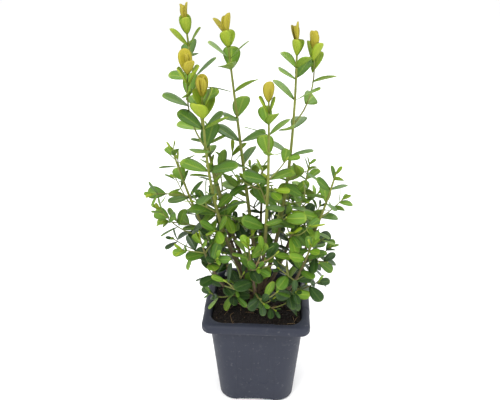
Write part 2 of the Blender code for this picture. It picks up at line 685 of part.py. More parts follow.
def make_mass(name, plant, finish):
    """One mass: its stem, its side shoots and its leaves, joined into one solid."""
    group = bpy.data.collections.new("joined_" + name)
    bpy.context.scene.collection.children.link(group)
    stem, *sides = [shoot for shoot in plant.twigs if shoot["mass"] == name]
    mass = new_object("mass_" + name, *twig(stem_path(stem["path"]), stem["radii"], stem["sides"]), finish)
    shapes = [twig(side["path"], side["radii"], side["sides"]) for side in sides]
    shapes += [leaf_solid(leaf) for leaf in plant.leaves if leaf["mass"] == name]
    for points, faces in shapes:
        obj = new_object("joined", points, faces)
        bpy.context.scene.collection.objects.unlink(obj)
        group.objects.link(obj)
    join(mass, group, least_faces=sum(len(faces) for _, faces in shapes))
    for obj in list(group.objects):
        bpy.data.objects.remove(obj)
    bpy.data.collections.remove(group)
    return mass


def main():
    clear_scene()
    finishes = {name: material(name, *look) for name, look in COLOURS.items()}
    make_pot(finishes["pot"])
    make_soil(finishes["soil"])
    make_foot(finishes["bark"])
    plant = Plant()
    plant.grow()
    for name, shoot in SHOOTS.items():
        make_bough(name, plant.boughs[name], finishes["bark"])
        make_mass(name, plant, finishes[shoot["habit"]])


main()
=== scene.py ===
import math
import bpy
import numpy as np
from mathutils.bvhtree import BVHTree
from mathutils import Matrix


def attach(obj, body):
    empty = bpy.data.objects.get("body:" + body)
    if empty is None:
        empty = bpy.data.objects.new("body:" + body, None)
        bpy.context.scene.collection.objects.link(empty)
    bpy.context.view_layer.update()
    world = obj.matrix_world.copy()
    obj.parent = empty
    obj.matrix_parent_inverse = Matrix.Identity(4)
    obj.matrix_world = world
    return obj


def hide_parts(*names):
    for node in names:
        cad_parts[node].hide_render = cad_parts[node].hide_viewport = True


# A young common boxwood in a square nursery pot. Metres, +Z up; the front of the pot faces -Y.
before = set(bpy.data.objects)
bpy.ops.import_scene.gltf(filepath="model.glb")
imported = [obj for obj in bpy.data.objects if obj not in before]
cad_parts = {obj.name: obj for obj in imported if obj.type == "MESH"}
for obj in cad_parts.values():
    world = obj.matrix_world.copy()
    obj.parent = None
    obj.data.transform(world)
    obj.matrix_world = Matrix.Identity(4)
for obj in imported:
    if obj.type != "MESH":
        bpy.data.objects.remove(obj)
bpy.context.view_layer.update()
print("frame loaded:", len(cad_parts), "nodes")

up = np.array([0.0, 0.0, 1.0])


# Shader helpers
class Signal:
    # An output of a shader node; the operators add Math nodes
    def __init__(self, look, out):
        self.look = look
        self.out = out

    def math(self, operation, first, second=0.0):
        return self.look.node("ShaderNodeMath", {"operation": operation}, {0: first, 1: second})

    def __add__(self, other):
        return self.math("ADD", self, other)

    def __sub__(self, other):
        return self.math("SUBTRACT", self, other)

    def __rsub__(self, other):
        return self.math("SUBTRACT", other, self)

    def __mul__(self, other):
        return self.math("MULTIPLY", self, other)

    def __abs__(self):
        return self.math("ABSOLUTE", self)

    __radd__ = __add__
    __rmul__ = __mul__

    def wave(self):
        return self.math("SINE", self)

    def larger(self, other):
        return self.math("MAXIMUM", self, other)

    def band(self, low, high):  # 0 below low, 1 above high, smooth between
        return self.look.node("ShaderNodeMapRange", {"interpolation_type": "SMOOTHSTEP"},
                              {"Value": self, "From Min": low, "From Max": high})


class Look:
    # A material under construction: its nodes, its Principled shader, and short ways to feed them
    def __init__(self, name, **constants):
        self.material = bpy.data.materials.new(name)
        self.material.use_nodes = True
        self.tree = self.material.node_tree
        self.shader = self.tree.nodes["Principled BSDF"]
        for key, value in constants.items():
            self.shader.inputs[key.replace("_", " ")].default_value = value

    def feed(self, socket, value):
        if isinstance(value, Signal):
            self.tree.links.new(value.out, socket)
        elif isinstance(value, tuple) and len(value) == 3 and socket.type == "RGBA":
            socket.default_value = (*value, 1.0)
        else:
            socket.default_value = value

    def node(self, kind, settings=None, inputs=None, out=0):
        made = self.tree.nodes.new(kind)
        for key, value in (settings or {}).items():
            setattr(made, key, value)
        for key, value in (inputs or {}).items():
            self.feed(made.inputs[key], value)
        return Signal(self, made.outputs[out])

    def place(self):
        return self.node("ShaderNodeTexCoord", out="Object")

    def noise(self, scale, detail=3.0, roughness=0.55):
        return self.node("ShaderNodeTexNoise", None, {"Vector": self.place(), "Scale": scale, "Detail": detail,
                                                      "Roughness": roughness})

    def cells(self, scale):
        return self.node("ShaderNodeTexVoronoi", None, {"Vector": self.place(), "Scale": scale})

    def mix(self, factor, first, second):
        return self.node("ShaderNodeMix", {"data_type": "RGBA"}, {0: factor, 6: first, 7: second}, out=2)

    def attribute(self, name):
        return self.node("ShaderNodeAttribute", {"attribute_name": name}, out="Fac")

    def finish(self, colour, roughness, height, distance):
        self.feed(self.shader.inputs["Base Color"], colour)
        self.feed(self.shader.inputs["Roughness"], roughness)
        bump = self.node("ShaderNodeBump", None, {"Strength": 1.0, "Distance": distance, "Height": height})
        self.feed(self.shader.inputs["Normal"], bump)
        return self.material


# Mesh helpers

# Faces between neighbouring rings of points: quads over a grid of rings, each ring closed on itself
def ringFaces(rings, count, start=0):
    i, j = np.meshgrid(np.arange(rings - 1), np.arange(count), indexing="ij")
    k = (j + 1) % count
    quads = np.stack([i * count + j, i * count + k, (i + 1) * count + k, (i + 1) * count + j], axis=-1)
    return (quads.reshape(-1, 4) + start).tolist()


# A skin over rings of equal length, both ends closed by one flat face
def skin(rings):
    count = len(rings[0])
    points = np.concatenate(rings)
    faces = ringFaces(len(rings), count)
    faces.append(list(range(count - 1, -1, -1)))
    faces.append(list(range(len(points) - count, len(points))))
    return points, faces


# Several meshes as one: points stacked, face numbers moved on by the points before them
def gathered(shapes):
    points, faces, start = [], [], 0
    for shapePoints, shapeFaces in shapes:
        points.append(shapePoints)
        faces += [[i + start for i in face] for face in shapeFaces]
        start += len(shapePoints)
    return np.concatenate(points), faces


# A finished piece: it rides on the root body and stands for the CAD nodes named; its record slot is not used
def piece(name, points, faces, materials, slot, nodes=(), values=None, smoothUnder=None):
    mesh = bpy.data.meshes.new(name)
    mesh.from_pydata(np.asarray(points).tolist(), [], faces)
    for key, data in (values or {}).items():
        mesh.attributes.new(key, "FLOAT", "POINT").data.foreach_set("value", np.asarray(data, np.float32))
    for made in materials:
        mesh.materials.append(made)
    mesh.shade_smooth()
    if smoothUnder:
        mesh.set_sharp_from_angle(angle=math.radians(smoothUnder))
    obj = bpy.data.objects.new(name, mesh)
    bpy.context.scene.collection.objects.link(obj)
    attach(obj, "root")
    if nodes:
        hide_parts(*nodes)
    print("piece", name, "faces", len(faces))
    return obj


# A vector over its own length
def unit(vector):
    return vector / np.linalg.norm(vector)


# 0 up to low, 1 from high on, and between them three times the share's square less twice its cube
def smoothStep(value, low, high):
    share = np.clip((value - low) / (high - low), 0, 1)
    return share * share * (3 - 2 * share)


# Value noise: random heights on a lattice, blended smoothly between the lattice points, from -1 to 1
def valueNoise(x, y, scale, seed):
    size = 64
    table = np.random.default_rng(seed).uniform(-1, 1, (size, size))
    gx, gy = x * scale, y * scale
    ix, iy = np.floor(gx).astype(int), np.floor(gy).astype(int)
    fx, fy = smoothStep(gx - ix, 0, 1), smoothStep(gy - iy, 0, 1)
    ix, iy, nextX, nextY = ix % size, iy % size, (ix + 1) % size, (iy + 1) % size
    low = table[ix, iy] * (1 - fx) + table[nextX, iy] * fx
    high = table[ix, nextY] * (1 - fx) + table[nextX, nextY] * fx
    return low * (1 - fy) + high * fy


# A round bead of 3 rings between two poles, as directions on a unit sphere
def beadShape(around=6, rings=3):
    lift = np.linspace(-90, 90, rings + 2)[1:-1]
    turn = np.radians(np.arange(around) * 360 / around)
    ring = [np.stack([np.cos(turn) * math.cos(math.radians(a)), np.sin(turn) * math.cos(math.radians(a)),
                      np.full(around, math.sin(math.radians(a)))], axis=1) for a in lift]
    points = np.concatenate([[[0, 0, -1]], *ring, [[0, 0, 1]]])
    top = len(points) - 1
    faces = ringFaces(rings, around, 1)
    faces += [[0, 1 + (j + 1) % around, 1 + j] for j in range(around)]
    faces += [[top, top - around + j, top - around + (j + 1) % around] for j in range(around)]
    return points, faces


# Copies of one bead, each with its own place, three half-sizes and three directions
def beads(places, sizes, turns):
    shape, faces = beadShape()
    local = shape[None] * sizes[:, None, :]
    points = places[:, None] + np.einsum("npk,nkj->npj", local, turns)
    found = []
    for i in range(len(places)):
        found += [[k + i * len(shape) for k in face] for face in faces]
    return points.reshape(-1, 3), found


# Pot: a pair is where a soft edge begins and ends; in the hem and lip it is a step aside and one up or down
potShape = {
    "height": 0.092, "rim": 0.090, "bodyTop": 0.079, "bodyFoot": 0.066, "wall": 0.0014, "floor": 0.0022,
    "skirt": 0.0074, "rimCorner": 0.0085, "innerCorner": 0.0120, "bodyCorner": 0.013, "footCorner": 0.0155,
    "underCorner": 0.0095, "sideSteps": 84, "cornerSteps": 12, "wallRows": 92, "footRound": 0.0016,
    "rimRound": 0.0036, "underReach": (0.0125, 0.0115, 0.004), "underArch": (0.0110, 0.0120),
    "hem": ((0.0010, 0.0), (0.0002, 0.0002)), "hemTop": 0.0009,
    "lip": ((0.0016, 0.0), (0.0006, 0.0004), (0.0001, 0.0013)), "lipEdge": (0.0005, 0.0010),
    "innerHeights": (0.0890, 0.0836, 0.0700), "lowHeights": (0.040, 0.0022),
    "tab": 0.0155, "tabSlant": 0.0035, "tabRise": 0.0004, "tabEdge": 0.0003, "tabFoot": (0.0010, 0.0014),
    "tabTop": (0.0020, 0.0005), "panelEdge": (0.0163, 0.0168), "panelDepth": 0.0004,
    "panelFoot": (0.0010, 0.0025), "panelTop": (0.0016, 0.0010), "strip": 0.0073, "stripHalf": 0.0043,
    "stripFoot": 0.0262, "stripDepth": 0.0004, "stripEdge": 0.0003, "archHigh": 0.0019,
    "archHighEdge": (0.0062, 0.0080), "archLow": 0.0011, "archLowEdge": (0.0145, 0.0165), "archFade": 0.004,
    "drain": 0.0042, "drainPlace": 0.0165, "drainSides": 20, "drainPast": 0.001,
    "dark": (0.020, 0.023, 0.036), "light": (0.029, 0.033, 0.050), "dust": (0.080, 0.082, 0.092),
    "scratch": (0.13, 0.13, 0.14),
}
skirtFoot = potShape["height"] - potShape["skirt"]


# Half the body's width: it grows evenly from the foot to the skirt
def wallHalf(z):
    return (potShape["bodyFoot"] + (potShape["bodyTop"] - potShape["bodyFoot"]) * z / skirtFoot) / 2


# A square ring with round corners: each side is a straight run, each corner a quarter turn
def squareRing(half, corner, z, sideSteps=potShape["sideSteps"]):
    run = np.linspace(-1, 1, sideSteps + 1) * (half - corner)
    turn = np.radians(np.linspace(-90, 0, potShape["cornerSteps"] + 1)[1:-1])
    x = np.concatenate([run, half - corner + corner * np.cos(turn)])
    y = np.concatenate([np.full(len(run), -half), -half + corner + corner * np.sin(turn)])
    sides = [np.stack([c * x - s * y, s * x + c * y, np.full(len(x), z)], axis=1)
             for c, s in ((1, 0), (0, 1), (-1, 0), (0, -1))]
    return np.concatenate(sides), np.tile(np.concatenate([run, np.full(len(turn), 1.0)]), 4)


# How far the outer wall is pushed in: a flat panel, and two strips in it with round lower ends
def wallPush(along, z):
    side, edge = np.abs(along), potShape["stripEdge"]
    inPanel = 1 - smoothStep(side, *potShape["panelEdge"])
    away = np.hypot(side - potShape["strip"], np.minimum(z - potShape["stripFoot"], 0)) - potShape["stripHalf"]
    inStrip = 1 - smoothStep(away, -edge, edge)
    return inPanel * potShape["panelDepth"] + inStrip * potShape["stripDepth"]


# How high the foot arches: two steps with slanted ends in the middle of each side
def archRise(along):
    side = np.abs(along)
    low = (1 - smoothStep(side, *potShape["archLowEdge"])) * potShape["archLow"]
    high = (1 - smoothStep(side, *potShape["archHighEdge"])) * (potShape["archHigh"] - potShape["archLow"])
    return low + high


# Points of a ring moved out by a distance for each, along the line from the pot's axis
def movedOut(ring, distance):
    wide = np.abs(ring[:, :2]).max(axis=1)
    ring[:, :2] *= (1 + distance / wide)[:, None]
    return ring


# The underside: square rings from its flat middle out, lifted where the foot arches
def underRings():
    rings = []
    for reach in potShape["underReach"]:
        ring, along = squareRing(wallHalf(0) - potShape["footRound"] - reach, potShape["underCorner"], 0.0)
        ring[:, 2] = archRise(along) * (1 - smoothStep(reach, *potShape["underArch"]))
        rings.append(ring)
    return rings


# The outer wall: rings that widen with height, pushed in by the panels and lifted by the arches near the foot
def wallRings():
    rings, rounding = [], potShape["footRound"]
    rows = np.linspace(0.003, skirtFoot - 0.0008, potShape["wallRows"])
    for z in np.concatenate([[0.0, 0.0005, rounding], rows, [skirtFoot]]):
        corner = potShape["footCorner"] + (potShape["bodyCorner"] - potShape["footCorner"]) * z / skirtFoot
        inset = 2 * rounding * (1 - smoothStep(z, -rounding, rounding))
        ring, along = squareRing(wallHalf(z) - inset, corner, z)
        fade = 1 - smoothStep(z - skirtFoot, *(-d for d in potShape["panelTop"]))
        fade = fade * smoothStep(z, *potShape["panelFoot"])
        ring = movedOut(ring, -wallPush(along, z) * fade)
        ring[:, 2] += archRise(along) * (1 - smoothStep(z, 0.0, potShape["archFade"]))
        rings.append(ring)
    return rings


# The rim: rings along a profile up the skirt, over by a quarter turn and down inside, with a tab on each side
def rimRings():
    rings, top, rounding = [], potShape["height"], potShape["rimRound"]
    rim, inner = potShape["rim"] / 2, wallHalf(skirtFoot) - potShape["wall"]
    profile = [(rim - back, skirtFoot + rise) for back, rise in potShape["hem"]]
    profile += [(rim, z) for z in np.linspace(skirtFoot + potShape["hemTop"], top - rounding, 5)]
    profile += [(rim - rounding + rounding * math.cos(a), top - rounding + rounding * math.sin(a))
                for a in np.radians(np.linspace(0, 90, 9))[1:]]
    profile += [(inner + out, top - down) for out, down in potShape["lip"]]
    profile += [(inner, z) for z in potShape["innerHeights"]]
    for half, z in profile:
        outside = smoothStep(half, inner + potShape["lipEdge"][0], rim - potShape["lipEdge"][1])
        corner = potShape["rimCorner"] + (potShape["innerCorner"] - potShape["rimCorner"]) * (1 - outside)
        ring, along = squareRing(half, corner, z)
        slant = potShape["tab"] + potShape["tabSlant"] * (top - z) / potShape["skirt"]
        tab = 1 - smoothStep(np.abs(along) - slant, -potShape["tabEdge"], potShape["tabEdge"])
        tab = potShape["tabRise"] * tab * smoothStep(z - skirtFoot, *potShape["tabFoot"])
        ring = movedOut(ring, tab * outside)
        ring[:, 2] += tab * smoothStep(z - top, *(-d for d in potShape["tabTop"]))
        rings.append(ring)
    return rings


# The pot: one skin over its rings, from the middle of its underside round wall and rim to its inner floor
def makePotShape():
    low = [squareRing(wallHalf(z) - potShape["wall"], potShape["bodyCorner"], z)[0]
           for z in potShape["lowHeights"]]
    return skin(underRings() + wallRings() + rimRings() + low)


# Four round drain holes through the floor, cut at once so that no modifier is left
def cutDrains(obj):
    sides, past = potShape["drainSides"], potShape["drainPast"]
    turn = 2 * math.pi * np.arange(sides) / sides
    for sx, sy in ((-1, -1), (-1, 1), (1, -1), (1, 1)):
        circle = np.stack([sx * potShape["drainPlace"] + potShape["drain"] * np.cos(turn),
                           sy * potShape["drainPlace"] + potShape["drain"] * np.sin(turn)], axis=1)
        ends = [np.column_stack([circle, np.full(sides, z)]) for z in (-past, potShape["floor"] + past)]
        points, faces = skin(ends)
        mesh = bpy.data.meshes.new("drainTool")
        mesh.from_pydata(points.tolist(), [], faces)
        tool = bpy.data.objects.new("drainTool", mesh)
        bpy.context.scene.collection.objects.link(tool)
        step = obj.modifiers.new("drain", "BOOLEAN")
        step.operation, step.solver, step.object = "DIFFERENCE", "EXACT", tool
        bpy.context.view_layer.update()
        cut = bpy.data.meshes.new_from_object(obj.evaluated_get(bpy.context.evaluated_depsgraph_get()))
        obj.modifiers.clear()
        obj.data = cut
        bpy.data.objects.remove(tool)


# Satin plastic: two clouded greys, with a little dust and a few fine scratches
def potLook():
    look = Look("potPlastic", Specular_IOR_Level=0.22)
    cloud, grain, dust = look.noise(26.0, 4.0), look.noise(900.0, 2.0), look.noise(140.0, 5.0, 0.7)
    colour = look.mix(cloud, potShape["dark"], potShape["light"])
    colour = look.mix(dust.band(0.56, 0.74) * 0.30, colour, potShape["dust"])
    scratch = look.noise(320.0, 2.0, 0.4).band(0.66, 0.70)
    colour = look.mix(scratch * 0.25, colour, potShape["scratch"])
    return look.finish(colour, 0.40 + dust * 0.22, grain * 0.6 + cloud * 0.4, 0.00012)


# Soil: the colours of a peat are its dark, its light and its specks
soilShape = {
    "top": 0.0850, "bump": 0.0011, "lump": 0.0005, "stemPlace": (0.0, 0.005), "level": 0.010, "fade": 0.008,
    "edgeHeight": 0.081, "edgeLift": 0.0012, "clear": 0.0002, "corner": 0.0118, "sideSteps": 40, "rows": 74,
    "sideHeights": (0.0026, 0.040, 0.078), "rimFree": 0.0025, "cornerFree": 0.010,
    "crumbs": 1500, "crumbSize": (0.0005, 0.0017), "paleCrumbs": 90, "paleSize": (0.0003, 0.0009),
    "darkPeat": ((0.0045, 0.0032, 0.0024), (0.019, 0.012, 0.008), (0.075, 0.052, 0.034)),
    "palePeat": ((0.045, 0.028, 0.017), (0.110, 0.075, 0.045), (0.20, 0.16, 0.11)),
}


# The crumbly top: three crossing waves as in the solid, level round the stem, and value noise on them
def soilHeight(x, y):
    wave = (np.sin(310 * x + 1.3) * np.cos(270 * y) + 0.6 * np.sin(520 * y + 190 * x)
            + 0.5 * np.cos(610 * x - 420 * y + 0.7))
    fine = 0.6 * valueNoise(x, y, 700, 3) + 0.4 * valueNoise(x, y, 1500, 4)
    away = np.hypot(x - soilShape["stemPlace"][0], y - soilShape["stemPlace"][1]) - soilShape["level"]
    rise = soilShape["bump"] * 0.5 * wave * np.clip(away / soilShape["fade"], 0, 1)
    return soilShape["top"] + rise + soilShape["lump"] * fine


# The filling: rings up inside the wall, then shrinking rings over the crumbly top to its middle
def makeSoilShape():
    inset, corner, steps = potShape["wall"] + soilShape["clear"], soilShape["corner"], soilShape["sideSteps"]
    rings = [squareRing(wallHalf(z) - inset, corner, z, steps)[0] for z in soilShape["sideHeights"]]
    edge = wallHalf(soilShape["edgeHeight"]) - inset
    for share in np.linspace(0.995, 0.02, soilShape["rows"]):
        ring = squareRing(edge * share, corner * share, 0.0, steps)[0]
        ring[:, 2] = soilHeight(ring[:, 0], ring[:, 1]) + soilShape["edgeLift"] * smoothStep(share, 0.90, 1.0)
        rings.append(ring)
    return skin(rings)


def soilLook(name, dark, light, speck):
    look = Look(name, Specular_IOR_Level=0.3)
    lump, grain = look.noise(420.0, 5.0, 0.7), look.cells(1400.0)
    colour = look.mix(lump.band(0.35, 0.68), dark, light)
    colour = look.mix(look.noise(1500.0, 2.0).band(0.68, 0.74), colour, speck)
    return look.finish(colour, 0.72 + lump * 0.25, lump + grain * 0.5, 0.0006)


# Places on the soil, dealt out evenly by chance, without those past its round corners
def soilPlaces(count, rng):
    half, rounding = wallHalf(0.084) - potShape["wall"] - soilShape["rimFree"], soilShape["cornerFree"]
    x, y = rng.uniform(-half, half, count), rng.uniform(-half, half, count)
    pastX, pastY = (np.maximum(np.abs(value) - half + rounding, 0) for value in (x, y))
    keep = np.hypot(pastX, pastY) < rounding
    return np.stack([x, y, soilHeight(x, y)], axis=1)[keep]


# Random sets of three square directions, one for each of a number of beads
def randomTurns(count, rng):
    return np.linalg.qr(rng.normal(size=(count, 3, 3)))[0]


# Crumbs: beads of random half-sizes and turns at random places, none of them mirrored
def makeCrumbs(count, low, high, seed):
    rng = np.random.default_rng(seed)
    places = soilPlaces(count, rng)
    sizes = rng.uniform(low, high, (len(places), 1)) * rng.uniform(0.55, 1.0, (len(places), 3))
    turns = randomTurns(len(places), rng)
    turns *= np.sign(np.linalg.det(turns))[:, None, None]
    return beads(places, sizes, turns)


# Swept limbs

# A smooth curve through three points: a quadratic Bezier
def bend(start, middle, tip, steps):
    t = np.linspace(0, 1, steps + 1)[:, None]
    start, middle, tip = (np.array(p, float) for p in (start, middle, tip))
    return (1 - t) ** 2 * start + 2 * t * (1 - t) * middle + t ** 2 * tip


# The length of a path up to each of its points
def runOf(path):
    return np.concatenate([[0.0], np.cumsum(np.linalg.norm(np.diff(path, axis=0), axis=1))])


# The path again with evenly spaced points
def evened(path, count):
    run = runOf(path)
    at = np.linspace(0, run[-1], count)
    return np.stack([np.interp(at, run, path[:, i]) for i in range(3)], axis=1)


# Rings square to a path: each point leaves the path by its radius, at its angle round the heading
def sweep(path, radius, sides):
    heading = np.gradient(path, axis=0)
    heading /= np.linalg.norm(heading, axis=1)[:, None]
    aside = np.array([0.0, 1.0, 0.0]) if abs(unit(path[-1] - path[0])[1]) < 0.8 else np.array([1.0, 0.0, 0.0])
    first = np.cross(heading, aside)
    first /= np.linalg.norm(first, axis=1)[:, None]
    second = np.cross(heading, first)
    turn = 2 * math.pi * np.arange(sides) / sides
    out = np.cos(turn)[None, :, None] * first[:, None] + np.sin(turn)[None, :, None] * second[:, None]
    radius = np.broadcast_to(np.asarray(radius, float).reshape(len(path), -1), (len(path), sides))
    return list(path[:, None] + radius[..., None] * out)


# Growth: the same seeded rule as the solids
plantShape = {
    "foot": (0.0, 0.005, 0.0853), "footHeight": 0.009, "footRadius": 0.0056, "gap": 0.0003, "topSeat": 0.0037,
    "sideSeat": 0.0054, "boughRadius": 0.0017, "stemRadius": 0.0014, "sideRadius": 0.0010, "boughPoints": 5,
    "stemPoints": 6, "sidePoints": 3, "pathSteps": 48, "sideSteps": 12, "sideStart": 3, "shortestSide": 7,
    "lowestTwig": 0.0905, "sideLeaf": 0.017, "stemEnd": 0.004, "slack": 0.005,
    "roomGap": 0.0006, "roomSides": 6, "roomReach": 0.003,
    "leafClose": 0.003, "lowestLeaf": 0.0882, "rimClear": 0.003, "insideRim": 0.037,
}
wholeOutline = np.array([[-0.03, 0.0], [0.45, -0.54], [0.97, -0.30], [0.97, 0.30], [0.45, 0.54]])
bladeOutline = np.array([[0.14, 0.0], [0.45, -0.55], [0.98, -0.32], [0.98, 0.32], [0.45, 0.55]])
wholeDepth, bladeDepth = (0.0011, 0.0003), (0.0003, 0.0003)
habits = {
    "leader": dict(gap=0.021, steps=(0.05, 0.40, 0.38, 0.36, 0.80, 1.0), sizes=(0.60, 0.68, 0.66, 0.84, 1.0),
                   openings=(8, 16, 28, 46, 58, 62, 66), roll=16, lift=0.35, droop=0.0, levelFrom=5),
    "low": dict(gap=0.0150, steps=(0.3, 0.6, 0.85, 1.0), sizes=(0.50, 0.70, 0.90, 1.0),
                openings=(26, 44, 56, 62, 66), roll=16, lift=0.62, droop=0.12, levelFrom=0),
    "side": dict(gap=0.0130, steps=(0.3, 0.6, 0.85, 1.0), sizes=(0.50, 0.72, 0.92, 1.0),
                 openings=(28, 45, 58, 64), roll=16, lift=0.62, droop=0.12, levelFrom=0),
    "fine": dict(gap=0.0105, steps=(0.3, 0.7, 1.0), sizes=(0.68, 0.86, 0.96, 1.0),
                 openings=(30, 48, 60, 66), roll=18, lift=0.66, droop=0.14, levelFrom=0),
}


# One main shoot: bend and tip of its curve, bare share, seat, leaf, top pair's turn, side shoots and forks
def shoot(habit, bendPoint, tip, bare, seat, leaf, turn, side, sideFrom, seed, forks=()):
    return dict(habit=habit, bend=bendPoint, tip=tip, bare=bare, seat=seat, leaf=leaf, turn=turn, side=side,
                sideFrom=sideFrom, seed=seed, forks=forks)


shoots = {
    "front_left": shoot("leader", (-0.042, -0.008, 0.165), (-0.039, -0.025, 0.279),
                        0.36, 216, 0.022, -10, 0.030, 6, 1,
                        ((0.238, (-0.049, -0.021, 0.294), "leader"),)),
    "back_left": shoot("leader", (-0.044, 0.020, 0.190), (-0.0555, 0.020, 0.322),
                       0.44, 144, 0.020, 100, 0.030, 7, 2),
    "back_middle": shoot("leader", (-0.012, 0.014, 0.200), (-0.0245, 0.015, 0.314),
                         0.40, 72, 0.021, 80, 0.028, 7, 3),
    "centre": shoot("leader", (0.010, -0.020, 0.175), (0.0075, -0.012, 0.272),
                    0.32, 288, 0.020, 20, 0.030, 6, 4),
    "right": shoot("leader", (0.029, 0.006, 0.185), (0.027, 0.012, 0.309), 0.38, 0, 0.020, 60, 0.032, 7, 5,
                   ((0.248, (0.0395, 0.018, 0.303), "leader"),)),
    "low_left": shoot("low", (-0.042, 0.004, 0.125), (-0.068, 0.004, 0.226),
                      0.26, 180, 0.018, 30, 0.042, 2, 6,
                      ((0.150, (-0.078, -0.012, 0.182), "side"), (0.112, (-0.047, -0.006, 0.117), "side"))),
    "low_right": shoot("low", (0.042, 0.002, 0.120), (0.060, -0.004, 0.212),
                       0.26, 0, 0.018, 30, 0.042, 2, 7,
                       ((0.145, (0.062, -0.008, 0.176), "side"), (0.118, (0.060, 0.004, 0.141), "side"))),
    "low_front_left": shoot("low", (-0.030, -0.022, 0.100), (-0.044, -0.030, 0.165),
                            0.26, 225, 0.018, 30, 0.034, 2, 8),
    "low_front_right": shoot("low", (0.028, -0.022, 0.098), (0.042, -0.034, 0.165),
                             0.26, 315, 0.018, 30, 0.034, 2, 9,
                             ((0.105, (0.050, -0.028, 0.128), "side"),)),
    "low_back_left": shoot("low", (-0.025, 0.030, 0.110), (-0.042, 0.044, 0.195),
                           0.26, 135, 0.018, 30, 0.040, 2, 10),
    "low_back_right": shoot("low", (0.028, 0.030, 0.110), (0.042, 0.042, 0.200),
                            0.26, 45, 0.018, 30, 0.040, 2, 11),
    "low_back": shoot("low", (0.0, 0.034, 0.105), (0.002, 0.046, 0.195), 0.26, 90, 0.018, 30, 0.040, 2, 12),
    "low_front": shoot("low", (0.0, -0.026, 0.098), (-0.006, -0.036, 0.165),
                       0.26, 270, 0.018, 30, 0.034, 2, 13,
                       ((0.101, (0.015, -0.031, 0.101), "side"),)),
}
footPlace = np.array(plantShape["foot"])


# The point at a distance along a path, and the heading of its run there
def placeOn(path, distance):
    run = runOf(path)
    distance = min(max(distance, 0.0), run[-1])
    point = np.array([np.interp(distance, run, path[:, i]) for i in range(3)])
    after = min(max(int(np.searchsorted(run, distance)), 1), len(path) - 1)
    return point, unit(path[after] - path[after - 1])


# Two directions square to a heading and to each other
def across(heading):
    first = unit(np.cross(heading, (0.0, 1.0, 0.0) if abs(heading[1]) < 0.9 else (1.0, 0.0, 0.0)))
    return first, np.cross(heading, first)


# A path by fewer of its points, evenly counted
def thinned(path, points):
    return path[np.linspace(0, len(path) - 1, points).round().astype(int)]


# An outline laid in a leaf's plane: shares of its length along it and of its width across
def corners(leaf, shape):
    side = np.cross(leaf["normal"], leaf["along"])
    return leaf["root"] + leaf["length"] * shape[:, :1] * leaf["along"] + leaf["width"] * shape[:, 1:] * side


# A search tree over the skin of some rings
def treeOf(rings):
    points, faces = skin([np.asarray(r) for r in rings])
    return BVHTree.FromPolygons(points.tolist(), faces)


# A leaf's outline as a flat slab, from under its plane to over it
def slab(leaf, shape, depth):
    edge = corners(leaf, shape)
    return treeOf([edge - depth[0] * leaf["normal"], edge + depth[1] * leaf["normal"]])


# The room a leaf takes: a whole with its margin, tested against other masses, and a core tested in its own
def leafRoom(leaf):
    return dict(kind="leaf", mass=leaf["mass"], stem=leaf["stem"], root=leaf["root"],
                middle=leaf["root"] + 0.5 * leaf["length"] * leaf["along"], reach=0.6 * leaf["length"],
                whole=slab(leaf, wholeOutline, wholeDepth), core=slab(leaf, bladeOutline, bladeDepth))


# A six-sided bar round a straight run of a shoot
def bar(path, radius):
    first, second = across(unit(path[1] - path[0]))
    turn = 2 * math.pi * (np.arange(plantShape["roomSides"]) + 0.5) / plantShape["roomSides"]
    ring = radius * (np.cos(turn)[:, None] * first + np.sin(turn)[:, None] * second)
    return treeOf([path[0] + ring, path[-1] + ring])


# The room of one straight run of a limb, whole and core
def limbRoom(mass, stem, path, radius):
    wide = radius + plantShape["roomGap"]
    return dict(kind="limb", mass=mass, stem=stem, root=path[0], middle=path.mean(axis=0),
                reach=0.5 * np.linalg.norm(path[-1] - path[0]) + wide,
                whole=bar(path, wide), core=bar(path, radius))


# Rooms that may meet: a leaf and its own stem, and leaves of one pair
def areKin(one, other):
    if one["kind"] != other["kind"]:
        return one["stem"] == other["stem"]
    return one["kind"] == "leaf" and np.linalg.norm(one["root"] - other["root"]) < plantShape["leafClose"]


